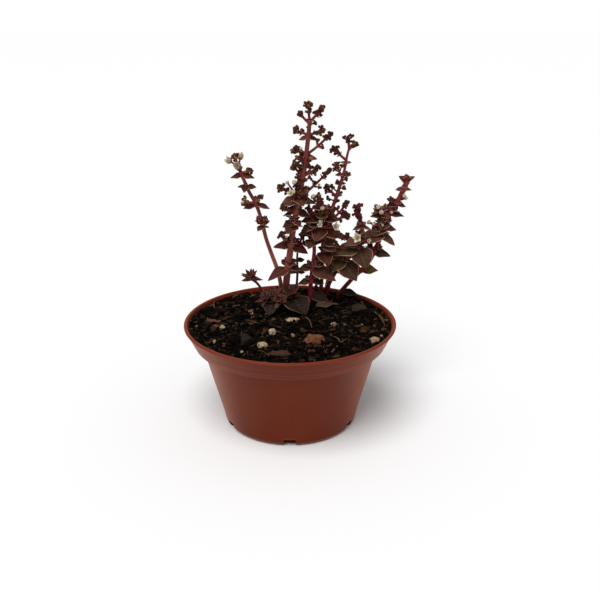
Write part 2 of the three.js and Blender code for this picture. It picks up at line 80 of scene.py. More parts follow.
def held(value, low=0.0, high=1.0):
    """A value, or the nearer bound where it lies past one."""
    return min(high, max(low, value))


def smooth(bm):
    """Lets light run softly over the faces of a mesh."""
    for face in bm.faces:
        face.smooth = True


def mesh_from(bm, name):
    """Ends the work on a bmesh and keeps it as a mesh of this name."""
    mesh = bpy.data.meshes.new(name)
    bm.to_mesh(mesh)
    bm.free()
    return mesh


def shown(name, data):
    """An object in the scene that shows this mesh, or holds this camera or lamp."""
    made = bpy.data.objects.new(name, data)
    bpy.context.scene.collection.objects.link(made)
    return made


def finish_piece(name, bm, finishes, nodes=()):
    """Scales a mesh to metres, gives it its finishes and puts it in the scene."""
    bmesh.ops.recalc_face_normals(bm, faces=bm.faces)
    bmesh.ops.scale(bm, vec=(MM, MM, MM), verts=bm.verts)
    piece = shown(name, mesh_from(bm, name))
    for finish in finishes:
        piece.data.materials.append(finish.material)
    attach(piece, "root")
    if nodes:
        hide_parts(*nodes)
    print(f"{name}: {sum(len(face.vertices) - 2 for face in piece.data.polygons)} triangles")
    return piece


print("one millimetre is", MM, "m")

# %% [markdown]
# ## The camera
# The picture looks down on the pot by about twenty degrees from some 40 cm away. The height of
# the pot's ellipse at the rim gives the tilt, and the rim's width gives the distance.

# %% Camera
CAMERA_TILT = math.radians(20.35)
CAMERA_DISTANCE = 420
AIM = Vector((5.6, 0, 71.8))
LENS = {"lens": 44.7, "sensor_width": 36, "clip_start": 0.01, "clip_end": 20}

camera = shown("camera", bpy.data.cameras.new("camera"))
for setting, value in LENS.items():
    setattr(camera.data, setting, value)
look = Vector((0, math.cos(CAMERA_TILT), -math.sin(CAMERA_TILT)))
camera.location = (AIM - look * CAMERA_DISTANCE) * MM
camera.rotation_euler = (math.pi / 2 - CAMERA_TILT, 0, 0)
bpy.context.scene.camera = camera
print("camera at", tuple(round(c, 4) for c in camera.location))

# %% [markdown]
# ## A small kit for finishes
# Each finish is a Principled shader with a few nodes before it. A class keeps the graphs short
# to write: a finish starts from one colour or a ramp of colours, and other colours are laid over
# it where a noise, a height or a mark on the mesh is high. Patterns read Object coordinates in
# metres, so a noise scale of 1000 gives grains of 1 mm. The mesh's corners carry four marks in
# one colour attribute: how far across and along they lie, a tone, and the upper side.

# %% Helpers for finishes


def tint(red, green, blue):
    """A colour given as it looks on a screen, 0 to 255, in the linear numbers that light uses."""
    shares = (red / 255, green / 255, blue / 255)
    return (*(c / 12.92 if c <= 0.04045 else ((c + 0.055) / 1.055) ** 2.4 for c in shares), 1.0)


class Finish:
    """A material whose Principled shader has these constants, and the nodes before it."""

    def __init__(self, name, **constants):
        self.material = bpy.data.materials.new(name)
        self.material.use_nodes = True
        self.tree = self.material.node_tree
        self.shader = self.tree.nodes["Principled BSDF"]
        for socket, value in constants.items():
            self.shader.inputs[socket.replace("_", " ")].default_value = value
        self.place = self.add("TexCoord").outputs["Object"]
        self.colour = None

    def add(self, kind, inputs=(), **settings):
        """Adds a shader node. An input is a value, or an output to link from."""
        made = self.tree.nodes.new("ShaderNode" + kind)
        for setting, value in settings.items():
            setattr(made, setting, value)
        for socket, value in dict(inputs).items():
            if isinstance(value, bpy.types.NodeSocket):
                self.tree.links.new(value, made.inputs[socket])
            else:
                made.inputs[socket].default_value = value
        return made

    def grain(self, size_mm, detail=3.0, roughness=0.55, upright=1.0):
        """Noise whose lumps are about size_mm across, with upright times as many up a height."""
        place = self.add("Mapping", {"Vector": self.place, "Scale": (1, 1, upright)}).outputs[0]
        inputs = {"Vector": place, "Scale": 1 / MM / size_mm, "Detail": detail}
        return self.add("TexNoise", inputs | {"Roughness": roughness}).outputs["Fac"]

    def marks(self):
        """How far across, how far along, which tone and which side, as stored on the corners."""
        stored = self.add("Attribute", attribute_name="grown").outputs
        parts = self.add("SeparateColor", {0: stored["Color"]}).outputs
        return parts["Red"], parts["Green"], parts["Blue"], stored["Alpha"]

    def graded(self, value, low, high, to_low=0.0, to_high=1.0):
        """Turns a value between low and high smoothly into one between two others."""
        inputs = {0: value, 1: low, 2: high, 3: to_low, 4: to_high}
        return self.add("MapRange", inputs, interpolation_type="SMOOTHSTEP").outputs[0]

    def maths(self, operation, first, second=0.0):
        """The sum, the product or another result of two values."""
        return self.add("Math", {0: first, 1: second}, operation=operation).outputs[0]

    def ramp(self, value, *stops):
        """A colour for each value, through stops of (value, red, green, blue)."""
        made = self.add("ValToRGB", {0: value})
        elements = made.color_ramp.elements
        elements[0].position, elements[-1].position = stops[0][0], stops[-1][0]
        elements[0].color, elements[-1].color = tint(*stops[0][1:]), tint(*stops[-1][1:])
        for position, *colour in stops[1:-1]:
            elements.new(position).color = tint(*colour)
        return made.outputs["Color"]

    def cover(self, share, colour, blend="MIX"):
        """Lays a colour over the finish, by a share from 0 for none to 1 for all."""
        colour = tint(*colour) if isinstance(colour, tuple) else colour
        inputs = {0: share, 6: self.colour, 7: colour}
        self.colour = self.add("Mix", inputs, data_type="RGBA", blend_type=blend).outputs[2]

    def shade(self, colour, value, start, end, most=1.0, least=0.0, times=None, blend="MIX"):
        """Lays a colour over the finish: least where a value is at start, most where at end."""
        share = self.graded(value, start, end, least, most)
        self.cover(self.maths("MULTIPLY", share, times) if times else share, colour, blend)

    def dress(self, relief, depth_mm, strength, **outputs):
        """Links the colour, a relief of this depth and other outputs to the shader."""
        inputs = {"Height": relief, "Distance": depth_mm * MM, "Strength": strength}
        outputs["Normal"] = self.add("Bump", inputs).outputs["Normal"]
        outputs["Base_Color"] = self.colour
        for socket, output in outputs.items():
            self.tree.links.new(output, self.shader.inputs[socket.replace("_", " ")])
        print("finish:", self.material.name)


print("a middle grey in linear light:", round(tint(128, 128, 128)[0], 3))

# %% [markdown]
# ## Small shapes that come again and again
# A bud, a leaf and a crumb are each a ball to begin with, and a twig is a straight rod. Blender's
# mesh operators slow down as a mesh grows, so each such shape is made once, on its own, and
# copied into the larger mesh. Only its corners are moved there.

# %% Templates
TEMPLATES = {}


def drawn_out(bm, ring):
    """Extrudes a ring of edges. Returns the new ring and its corners."""
    drawn = bmesh.ops.extrude_edge_only(bm, edges=ring)["geom"]
    ring = [item for item in drawn if isinstance(item, bmesh.types.BMEdge)]
    return ring, list(dict.fromkeys(vert for edge in ring for vert in edge.verts))


def rod_template(bm, sides, steps):
    """A rod of radius 1 that is drawn out of a disc, ring by ring, to a height of steps."""
    verts = bmesh.ops.create_circle(bm, cap_ends=True, segments=sides, radius=1)["verts"]
    ring = list(dict.fromkeys(edge for vert in verts for edge in vert.link_edges))
    for i in range(steps):
        ring, verts = drawn_out(bm, ring)
        for vert in verts:
            vert.co.z = i + 1
    bmesh.ops.contextual_create(bm, geom=ring)


def template(kind, *sizes):
    """A ball, crumb or rod of radius 1, made the first time that it is wanted."""
    key = (kind, *sizes)
    if key not in TEMPLATES:
        bm = bmesh.new()
        if kind == "ball":
            bmesh.ops.create_uvsphere(bm, u_segments=sizes[0], v_segments=sizes[1], radius=1)
        elif kind == "crumb":
            bmesh.ops.create_icosphere(bm, subdivisions=sizes[0], radius=1)
        else:
            rod_template(bm, *sizes)
        if kind != "crumb":
            smooth(bm)
        TEMPLATES[key] = mesh_from(bm, kind)
    return TEMPLATES[key]


def copied(bm, shape, index=0):
    """Copies a template into a mesh, gives it a finish and returns its corners."""
    corners, sides = len(bm.verts), len(bm.faces)
    bm.from_mesh(shape)
    bm.verts.ensure_lookup_table()
    bm.faces.ensure_lookup_table()
    for face in bm.faces[sides:]:
        face.material_index = index
    return bm.verts[corners:]


print("faces of a small ball:", len(template("ball", 8, 6).polygons))

# %% [markdown]
# ## The pot's plastic
# Nursery pots are blown or moulded from thin polypropylene. The surface is satin: from the front
# it hardly mirrors anything. Where it is seen at a glancing angle, a paler, warm clay colour is
# painted on as a painted reflection, and the rounded lip is painted a little brighter as a painted
# highlight. Handling leaves faint smears. Colour noise gives the smears, and a very fine bump
# gives the satin.

# %% Pot finish
pot_plastic = Finish("pot_plastic", Specular_IOR_Level=0.11, IOR=1.49,
                     Specular_Tint=(1, 0.72, 0.55, 1))
smear, speck = pot_plastic.grain(24, 4), pot_plastic.grain(0.7, 2)
height = pot_plastic.add("SeparateXYZ", {0: pot_plastic.place}).outputs["Z"]
painted_sheen_facing = pot_plastic.add("LayerWeight", {"Blend": 0.5}).outputs["Facing"]
pot_plastic.colour = tint(97, 35, 16)
pot_plastic.shade((104, 41, 21), smear, 0.3, 0.75)
pot_plastic.shade((128, 72, 50), speck, 0.66, 0.8, 0.35)
# Painted highlight: the rounded lip, between these heights, is painted a brighter clay colour.
pot_plastic.shade((124, 50, 28), height, 58.6 * MM, 59.7 * MM, 0.6)
# Painted reflection: a paler, warm clay colour laid on where the surface is seen at a glancing
# angle.
pot_plastic.shade((170, 98, 66), painted_sheen_facing, 0.45, 0.95, 0.5)
pot_plastic.dress(pot_plastic.maths("MULTIPLY", speck, smear), 0.05, 0.5,
                  Roughness=pot_plastic.graded(smear, 0.25, 0.8, 0.36, 0.5))

# %% [markdown]
# ## The pot
# The pot is a thing turned about its axis, so its outline is drawn once, from the middle of the
# underside up the outer wall, over the lip and down the inner wall, and spun round. The corners
# of a moulded pot are rounded, which the bevel does. The collar has two faint steps. The six
# notches in the foot and the six drain holes are cut out last, with one Boolean. A notch stops
# short of the ring's inner wall, so it looks dark.

# %% Pot shell
POT_SIDES = 144
SHARP_BEND = math.radians(12)
ROUNDING = 0.2
POT_OUTLINE = [
    (0, 0), (22, 0), (24, 2.2), (31, 2.2), (32.5, 0), (35.4, 0), (37.2, 0.7), (38.5, 2.4),
    (39.2, 6.2), (50.4, 48.6), (54.4, 48.6), (55.6, 51.4), (55.85, 51.5), (57.0, 54.5),
    (57.25, 54.6), (59, 58.8), (60, 59.2), (60, 59.6), (59.6, 60), (58.2, 60), (57.8, 58.8),
    (53.3, 49.7), (49.3, 49.7), (38.1, 6.2), (35.4, 5.4), (23.4, 3.3), (21.4, 1.1), (0, 1.1),
]


def turned(bm, outline, sides):
    """Spins an outline of (radius, height) about the upright axis."""
    corners = [bm.verts.new((radius, 0, height)) for radius, height in outline]
    edges = [bm.edges.new(pair) for pair in zip(corners, corners[1:])]
    bmesh.ops.spin(bm, geom=corners + edges, cent=(0, 0, 0), axis=(0, 0, 1),
                   angle=2 * math.pi, steps=sides, use_merge=True, use_duplicate=False)
    bmesh.ops.remove_doubles(bm, verts=bm.verts, dist=1e-4)
    bmesh.ops.recalc_face_normals(bm, faces=bm.faces)


def ring_edges(bm, least_angle):
    """The level edges round a turned shape where it bends by at least this angle."""
    return [
        edge for edge in bm.edges
        if edge.is_manifold and edge.calc_face_angle(0) > least_angle
        and abs(edge.verts[0].co.z - edge.verts[1].co.z) < 1e-4
        and abs(edge.verts[0].co.xy.length - edge.verts[1].co.xy.length) < 1e-3
    ]


pot_mesh = bmesh.new()
turned(pot_mesh, POT_OUTLINE, POT_SIDES)
bmesh.ops.bevel(pot_mesh, geom=ring_edges(pot_mesh, SHARP_BEND), offset=ROUNDING,
                offset_type="OFFSET", segments=2, profile=0.5, affect="EDGES", material=-1,
                clamp_overlap=True)
smooth(pot_mesh)
pot = finish_piece("nursery_pot", pot_mesh, [pot_plastic], ["pot"])

# %% Notches and drain holes
CUT_COUNT = 6
NOTCH_SIZE, NOTCH_PLACE = (7.4, 6.6, 9.4), (37.6, 0, 0)
DRAIN_RADIUS, DRAIN_DEPTH, DRAIN_PLACE = 2.6, 4, (27.5, 0, 2.8)

cutter_mesh = bmesh.new()
for i in range(CUT_COUNT):
    notch = bmesh.ops.create_cube(cutter_mesh, size=1)["verts"]
    bmesh.ops.scale(cutter_mesh, vec=NOTCH_SIZE, verts=notch)
    bmesh.ops.translate(cutter_mesh, vec=NOTCH_PLACE, verts=notch)
    drain = bmesh.ops.create_cone(cutter_mesh, cap_ends=True, segments=24, radius1=DRAIN_RADIUS,
                                  radius2=DRAIN_RADIUS, depth=DRAIN_DEPTH)["verts"]
    bmesh.ops.translate(cutter_mesh, vec=DRAIN_PLACE, verts=drain)
    turn = Matrix.Rotation((i - 1.5) * 2 * math.pi / CUT_COUNT, 3, "Z")
    bmesh.ops.rotate(cutter_mesh, verts=notch + drain, cent=(0, 0, 0), matrix=turn)
bmesh.ops.scale(cutter_mesh, vec=(MM, MM, MM), verts=cutter_mesh.verts)
cutter = shown("cutter", mesh_from(cutter_mesh, "cutter"))
cut = pot.modifiers.new("cut", "BOOLEAN")
cut.operation, cut.solver, cut.object = "DIFFERENCE", "EXACT", cutter
bpy.context.view_layer.update()
cut_pot = pot.evaluated_get(bpy.context.evaluated_depsgraph_get())
pot.data = bpy.data.meshes.new_from_object(cut_pot)
pot.modifiers.clear()
bpy.data.objects.remove(cutter)
print("pot after cutting:", len(pot.data.polygons), "faces")

# %% [markdown]
# ## Potting mix
# The mix is dark composted bark and peat with lighter chips. The body of it is one closed mesh:
# a grid bent into a disc for the top, drawn down inside the pot. The relief of the top comes
# from the same broad waves as the frame's solid, with cells for crumbs and noise for grit.

# %% Soil finish
potting_mix = Finish("potting_mix", Specular_IOR_Level=0.03, Roughness=0.9)
cells = potting_mix.add("TexVoronoi", {"Vector": potting_mix.place, "Scale": 1 / MM / 1.9})
cell_tone = potting_mix.add("SeparateColor", {0: cells.outputs["Color"]}).outputs[0]
grit = potting_mix.grain(0.5)
potting_mix.colour = potting_mix.ramp(
    cell_tone, (0.0, 6, 4, 3), (0.5, 15, 11, 8), (0.8, 32, 23, 16), (0.93, 70, 49, 33),
    (1.0, 108, 80, 56),
)
potting_mix.shade((8, 6, 4), grit, 0.65, 0.35, 0.85, 0.1)
potting_mix.dress(potting_mix.maths("SUBTRACT", grit, cells.outputs["Distance"]), 0.5, 0.8)

# %% Soil body
SOIL_LEVEL = 59
SOIL_EDGE = 57.3
SOIL_GRID = 150
SLUMP, SLUMP_FROM = 0.5, 0.96
SOIL_SIDES = [(52.9, 50.1), (49, 50.1), (37.6, 6.7), (34.9, 5.8), (23, 3.7), (21, 1.5)]


def soil_height(x, y):
    """The broad waves of the top, as on the frame's solid."""
    broad = math.sin(x * 0.11 + 0.6) * math.cos(y * 0.13 - 0.4)
    fine = math.sin(x * 0.37 + y * 0.21) * math.cos(y * 0.33 - x * 0.17)
    return SOIL_LEVEL + 0.5 * broad + 0.45 * fine


def crumb_relief(x, y):
    """Crumbs and grit that stand on the broad waves."""
    place = Vector((x, y, 0))
    cell = noise.voronoi(place * 0.42)[0][0]
    small = noise.voronoi(place * 0.95 + Vector((7, 3, 0)))[0][0]
    return 0.9 * (0.45 - cell) + 0.55 * (0.4 - small) + 0.35 * noise.noise(place * 1.7)


def soil_top(x, y):
    """How high the soil stands at a place, with its crumbs."""
    return soil_height(x, y) + crumb_relief(x, y)


soil_mesh = bmesh.new()
bmesh.ops.create_grid(soil_mesh, x_segments=SOIL_GRID, y_segments=SOIL_GRID, size=1)
for vert in soil_mesh.verts:
    x, y = vert.co.x, vert.co.y
    vert.co.x = x * math.sqrt(1 - y * y / 2) * SOIL_EDGE
    vert.co.y = y * math.sqrt(1 - x * x / 2) * SOIL_EDGE
    reach = vert.co.xy.length / SOIL_EDGE
    edge_drop = SLUMP * max(0, reach - SLUMP_FROM) / (1 - SLUMP_FROM)
    relief = crumb_relief(vert.co.x, vert.co.y) * min(1, (1 - reach) * 30 + 0.3)
    vert.co.z = soil_height(vert.co.x, vert.co.y) + relief - edge_drop
rim = [edge for edge in soil_mesh.edges if edge.is_boundary]
for radius, level in SOIL_SIDES:
    rim, corners = drawn_out(soil_mesh, rim)
    for vert in corners:
        vert.co = (*vert.co.xy.normalized() * radius, level)
bmesh.ops.contextual_create(soil_mesh, geom=rim)
smooth(soil_mesh)
finish_piece("potting_mix_bed", soil_mesh, [potting_mix], ["soil"])

# %% [markdown]
# ## Loose litter
# What makes potting mix look real is the litter on it: crumbs of peat, flakes of bark, fibres
# and grains of perlite in every size. Each crumb is one small faceted ball, flattened, turned
# and nudged at its corners. Its tone is stored on its corners, so one finish colours them all.
# A kind of crumb is (share drawn up to, tones, thicknesses, growth): peat, bark, then perlite.
# A few crumbs that catch the eye are named by (x, y, size, tone).

# %% Litter finish
litter_mix = Finish("litter_mix", Specular_IOR_Level=0.04, Roughness=0.85)
_, _, tone, _ = litter_mix.marks()
streak = litter_mix.grain(0.6, 4)
litter_mix.colour = litter_mix.ramp(
    tone, (0.0, 6, 4, 3), (0.28, 17, 12, 8), (0.45, 40, 28, 19), (0.66, 100, 69, 43),
    (0.82, 146, 114, 80), (0.9, 166, 152, 122), (1.0, 200, 190, 164),
)
litter_mix.shade((34, 25, 20), streak, 0.7, 0.3, 0.7, blend="MULTIPLY")
litter_mix.dress(streak, 0.25, 0.7)

# %% Crumbs and flakes
CRUMB_COUNT = 1500
SHRED_COUNT = 460
CRUMB_REACH = 55.3
SHRED_LENGTHS, SHRED_FLATS, SHRED_WIDTHS = (1.6, 4.4), (0.12, 0.26), (0.22, 0.45)
PALE_SHREDS, PALE_TONES, DARK_TONES = 0.24, (0.36, 0.62), (0.0, 0.34)
CRUMB_KINDS = [
    (0.88, (0.0, 0.38), (0.5, 0.9), 1.0), (0.99, (0.34, 0.6), (0.22, 0.45), 1.2),
    (1.0, (0.8, 1.0), (0.7, 0.95), 0.6),
]
NAMED_GRAINS = [
    (-37.5, -10.6, 1.5, 1.0), (-39.7, -31.9, 1.4, 0.92), (-52.3, -6.9, 1.2, 0.8),
    (-51.0, -17.8, 1.2, 0.8), (-22.4, 10.7, 1.0, 1.0), (1.8, -22.5, 1.5, 0.86),
    (-24.3, -42.8, 1.2, 0.95), (24.7, -6.9, 1.2, 0.97), (40.4, -6.9, 1.1, 0.88),
    (49.9, -21.2, 1.2, 0.9), (-41.4, -8.4, 2.2, 0.68), (-22.7, 16.3, 1.9, 0.66),
    (-23.6, 41.2, 2.0, 0.68), (30.5, -3.9, 2.0, 0.55), (40.7, -17.7, 2.6, 0.6),
    (52.0, -12.2, 2.0, 0.62), (-24, -27, 3.0, 0.08), (-29, -33, 2.4, 0.12), (10, -38, 2.6, 0.5),
    (-30, -20, 2.2, 0.42), (33, -24, 2.4, 0.4), (4, -12, 2.2, 0.15), (-14, -4, 2.3, 0.3),
    (24.6, -8.6, 1.5, 0.82), (30.9, -5.7, 1.6, 0.72), (-24.1, 38.5, 1.8, 0.7),
    (-23.2, 14.6, 1.9, 0.74), (-37.2, 19.5, 1.5, 0.7), (-42.5, -13, 3.0, 0.5),
    (41.4, -14.4, 2.8, 0.5), (37.9, -10.1, 2.4, 0.55), (44.9, -18.7, 2.2, 0.55),
    (-29.1, 6.6, 4.2, 0.2), (-28.8, -32.2, 4.4, 0.06), (5.6, -40, 2.4, 0.36),
]
print("crumbs, shreds and named grains:", CRUMB_COUNT, SHRED_COUNT, len(NAMED_GRAINS))

# %% Crumb helpers


def marked_mesh():
    """An empty mesh whose corners can hold how far across, how far along and which tone."""
    bm = bmesh.new()
    bm.verts.layers.float_color.new("grown")
    return bm


def marks_in(bm):
    """Where a mesh holds the marks of its corners."""
    return bm.verts.layers.float_color["grown"]


def spot(draw, reach):
    """A place drawn evenly from a disc of this radius."""
    angle, radius = draw(0, 2 * math.pi), reach * math.sqrt(draw())
    return radius * math.cos(angle), radius * math.sin(angle)


def add_crumb(bm, draw, x, y, size, tone, flat, sink=0.3, slim=1.0):
    """One crumb that lies on the soil, sunk by a share of its height."""
    heading, lean = draw(0, math.pi), draw(-0.35, 0.35)
    stretch = draw(0.6, 1.0) * slim
    level = soil_top(x, y) + size * flat * (1 - sink)
    grown = marks_in(bm)
    for vert in copied(bm, template("crumb", 1)):
        corner = vert.co * draw(0.72, 1.15)
        corner = Vector((corner.x * size, corner.y * size * stretch, corner.z * size * flat))
        corner.z += corner.x * lean
        vert.co.x = x + corner.x * math.cos(heading) - corner.y * math.sin(heading)
        vert.co.y = y + corner.x * math.sin(heading) + corner.y * math.cos(heading)
        vert.co.z = level + corner.z
        vert[grown] = (0, 0, tone, 1)


print("faces of a crumb:", len(template("crumb", 1).polygons))

# %% Lay the crumbs
litter_mesh = marked_mesh()
draw = warmed(61)
for _ in range(CRUMB_COUNT):
    x, y = spot(draw, CRUMB_REACH)
    kind = draw()
    size = 0.45 + 1.5 * draw() ** 3
    tones, flats, growth = next(looks for up_to, *looks in CRUMB_KINDS if kind < up_to)
    tone, flat = draw(*tones), draw(*flats)
    add_crumb(litter_mesh, draw, x, y, size * growth, tone, flat, slim=draw(0.4, 0.9))
for _ in range(SHRED_COUNT):
    x, y = spot(draw, CRUMB_REACH - 3)
    tone = draw(*PALE_TONES) if draw() < PALE_SHREDS else draw(*DARK_TONES)
    add_crumb(litter_mesh, draw, x, y, draw(*SHRED_LENGTHS), tone, draw(*SHRED_FLATS), sink=0.1,
              slim=draw(*SHRED_WIDTHS))
for x, y, size, tone in NAMED_GRAINS:
    add_crumb(litter_mesh, draw, x, y, size, tone, flat=0.8 if tone > 0.8 else 0.4, sink=0.1)
finish_piece("soil_crumbs", litter_mesh, [litter_mix])

# %% [markdown]
# ## Lines, rods and fibres
# Stems, twigs and fibres are all the same idea: a rod that follows a line. The line through a
# stem's points is a centripetal spline, which doesn't overshoot where points lie close. Each
# ring of a straight rod is carried to its place on the line, with a frame that doesn't twist.
# A rod's radius and tone are each one number, or a rule that gives one for a share of its length.

# %% Smooth lines


class Course:
    """A smooth line that can be asked for a place, a heading and a height along it."""

    def __init__(self, places):
        self.places = [Vector(place) for place in places]
        self.lengths = [0.0]
        for start, end in zip(self.places, self.places[1:]):
            self.lengths.append(self.lengths[-1] + (end - start).length)
        self.length = self.lengths[-1]

    def span(self, share):
        """The stretch that a share of the length falls in, and how far into it."""
        wanted = held(share) * self.length
        for i in range(len(self.places) - 1):
            if self.lengths[i + 1] >= wanted:
                break
        return i, (wanted - self.lengths[i]) / (self.lengths[i + 1] - self.lengths[i])

    def at(self, share):
        """The place at a share of the length."""
        i, within = self.span(share)
        return self.places[i].lerp(self.places[i + 1], within)

    def heading(self, share):
        """The direction in which the line runs there."""
        i, _ = self.span(share)
        return (self.places[i + 1] - self.places[i]).normalized()

    def share_at_height(self, height):
        """The share of the length at which the line first reaches a height."""
        for i, (start, end) in enumerate(zip(self.places, self.places[1:])):
            if end.z >= height:
                within = (height - start.z) / (end.z - start.z)
                run = self.lengths[i + 1] - self.lengths[i]
                return (self.lengths[i] + max(0, within) * run) / self.length
        return 1.0

    def at_height(self, height):
        """The place at which the line first reaches a height."""
        return self.at(self.share_at_height(height))


bent_line = Course([(0, 0, 0), (3, 0, 0), (3, 4, 0)])
print("half way along a bent line of", bent_line.length, "mm:", tuple(bent_line.at(0.5)))

# %% Splines and bows


def spline(points, closeness=14):
    """A centripetal spline through points."""
    points = [Vector(point) for point in points]
    points = [2 * points[0] - points[1], *points, 2 * points[-1] - points[-2]]
    places = [points[1]]
    for before, start, end, after in zip(points, points[1:], points[2:], points[3:]):
        pairs = ((before, start), (start, end), (end, after))
        a, b, c = (math.sqrt((q - p).length) for p, q in pairs)
        leave = ((start - before) / a - (end - before) / (a + b) + (end - start) / b) * b
        arrive = ((end - start) / b - (after - start) / (b + c) + (after - end) / c) * b
        for i in range(1, closeness + 1):
            t = i / closeness
            square = 3 * (end - start) - 2 * leave - arrive
            cube = 2 * (start - end) + leave + arrive
            places.append(start + leave * t + square * t * t + cube * t**3)
    return Course(places)


def bow(start, end, sag=0.08, closeness=10):
    """A line that hangs a little between its ends."""
    control = start.lerp(end, 0.5) - UP * (end - start).length * sag
    shares = [i / closeness for i in range(closeness + 1)]
    return Course([
        start * (1 - t) ** 2 + control * 2 * t * (1 - t) + end * t * t for t in shares
    ])


curve = spline([(0, 0, 0), (1, 0, 1), (1, 0, 3)])
print("a line through three points is", round(curve.length, 2), "mm long")

# %% Rods


def frames_along(line, steps):
    """Centre, side and front at each step, carried along without twist."""
    heading = line.heading(0)
    side = heading.orthogonal().normalized()
    frames = []
    for i in range(steps + 1):
        turned_to = line.heading(i / steps)
        side = (side - turned_to * side.dot(turned_to)).normalized()
        frames.append((line.at(i / steps), side, turned_to.cross(side)))
    return frames


def tapered(first, last):
    """A rule for a value that changes evenly along a line."""
    return lambda share: first + (last - first) * share


def add_rod(bm, line, radius, sides, steps, tone, index=0):
    """A rod along a line. Its radius and its tone are each a number or a rule."""
    frames, grown = frames_along(line, steps), marks_in(bm)
    for vert in copied(bm, template("rod", sides, steps), index):
        share = round(vert.co.z) / steps
        centre, side, front = frames[round(vert.co.z)]
        here = [value(share) if callable(value) else value for value in (radius, tone)]
        vert[grown] = (0.5, share, here[1], 1)
        vert.co = centre + (side * vert.co.x + front * vert.co.y) * here[0]


print("half way from 0.4 to 0.2 mm:", round(tapered(0.4, 0.2)(0.5), 2), "mm")

# %% Fibres, straws and the shed twigs
FIBRE_COUNT = 70
FIBRE_REACH = 50
FIBRE_LIFTS = (0.15, 1.1, 0.2)
FIBRE_RADII, FIBRE_TONES = (0.1, 0.26), (0.35, 0.85)
TWIG_TONE = 0.76
NAMED_TWIGS = [
    [(22, -43), (26.7, -33.6), (30.9, -25.6), 0.4],
    [(24, -22.8), (25.9, -28.3), (27.3, -32.2), 0.4],
    [(49.1, 14.6), (51.1, 5), (52.6, -4.2), 0.3], [(51.6, 8.2), (53, 0.4), (53, -7.1), 0.25],
    [(8.5, 3.5), (10.7, -2.7), (12.3, -11.5), 0.35], [(-45.9, 32), (-46.4, 26), (-45.1, 20), 0.35],
]
ROOT_LOOP = [(14.6, 38, 58), (15.4, 38, 68), (17.3, 37.6, 63.6), (18.7, 38, 67), (20, 38, 58)]
ROOT_RADIUS, ROOT_TONE = 0.55, 0.66


def add_fibre(bm, places, radius, tone):
    """A fibre that lies on the soil through three places (x, y), bowed up in its middle."""
    line = spline([(x, y, soil_top(x, y) + lift + radius)
                   for (x, y), lift in zip(places, FIBRE_LIFTS)], closeness=5)
    add_rod(bm, line, tapered(radius * 1.1, radius * 0.6), sides=5, steps=8, tone=tone)


def step_from(place, heading, length):
    """The place (x, y) that a step in this heading leads to."""
    return place + Vector((math.cos(heading), math.sin(heading))) * length


twig_mesh = marked_mesh()
draw = warmed(67)
for _ in range(FIBRE_COUNT):
    start = Vector(spot(draw, FIBRE_REACH))
    heading, run = draw(0, 2 * math.pi), draw(2.0, 7.0)
    middle = step_from(start, heading, run / 2)
    end = step_from(middle, heading + draw(-0.9, 0.9), run / 2)
    if end.length < CRUMB_REACH - 1:
        add_fibre(twig_mesh, [start, middle, end], draw(*FIBRE_RADII), draw(*FIBRE_TONES))
for *places, radius in NAMED_TWIGS:
    add_fibre(twig_mesh, places, radius, TWIG_TONE)
add_rod(twig_mesh, spline(ROOT_LOOP), ROOT_RADIUS, sides=7, steps=26, tone=ROOT_TONE)
finish_piece("soil_fibres", twig_mesh, [litter_mix])

# %% [markdown]
# ## Bark chips and pale grains
# A bark chip is a slab that split along its layers, so it starts as a box, a few planes shear
# its corners off, and noise roughens the cut faces. Perlite is puffed glass: a round lump with
# dents. Both are cut finely enough for the relief to be real geometry. Each is listed with its
# place, half its size, its turn in degrees, a seed for its draws and its tone: from weathered to
# freshly split for bark, and from clean to tan for a grain.

# %% Bark and grain finishes
bark = Finish("bark_chip", Specular_IOR_Level=0.15, Roughness=0.8)
layers, fleck = bark.grain(2.2, 5, 0.62, upright=4.5), bark.grain(0.45)
_, _, tone, _ = bark.marks()
bark.colour = bark.ramp(layers, (0.25, 18, 13, 10), (0.6, 36, 25, 18), (0.8, 60, 42, 29))
bark.cover(tone, bark.ramp(
    layers, (0.25, 60, 35, 23), (0.45, 112, 68, 45), (0.62, 132, 86, 60), (0.8, 158, 116, 86),
))
bark.shade((34, 23, 18), fleck, 0.55, 0.3, 0.65)
bark.dress(bark.maths("ADD", layers, fleck), 0.35, 0.8)

pale_grain = Finish("pale_grain", Specular_IOR_Level=0.35, Roughness=0.75)
stain = pale_grain.grain(1.6, 4)
_, _, tone, _ = pale_grain.marks()
pale_grain.colour = pale_grain.ramp(
    stain, (0.3, 74, 58, 42), (0.42, 138, 120, 90), (0.6, 184, 168, 132),
)
pale_grain.cover(tone, pale_grain.ramp(
    stain, (0.3, 92, 62, 44), (0.5, 142, 108, 80), (0.7, 172, 142, 112),
))
pale_grain.dress(pale_grain.grain(0.5), 0.2, 0.7)

# %% Bark chips
CHIP_CUTS = 7
CHIP_EDGE = 0.75
BARK_CHIPS = {
    "bark_chip_front": ((14, -28, 60), (7, 4, 2), 15, 31, 0.85),
    "bark_chip_rim": ((-5, -47, 59.4), (8, 3, 1.6), -5, 32, 0.3),
    "bark_chip_right": ((41, 17, 59.8), (6, 4.5, 1.8), 30, 33, 0.1),
    "bark_chip_left": ((-24, -29, 59.7), (6, 4.5, 2), 50, 34, 0.0),
    "bark_sliver": ((-43, -3, 59.4), (5.5, 2.2, 1.2), -20, 35, 0.7),
}


def settled(bm, place, turn):
    """Turns a shape about the upright axis and carries it to its place."""
    about = Matrix.Rotation(math.radians(turn), 3, "Z")
    bmesh.ops.rotate(bm, verts=bm.verts, cent=(0, 0, 0), matrix=about)
    bmesh.ops.translate(bm, vec=place, verts=bm.verts)


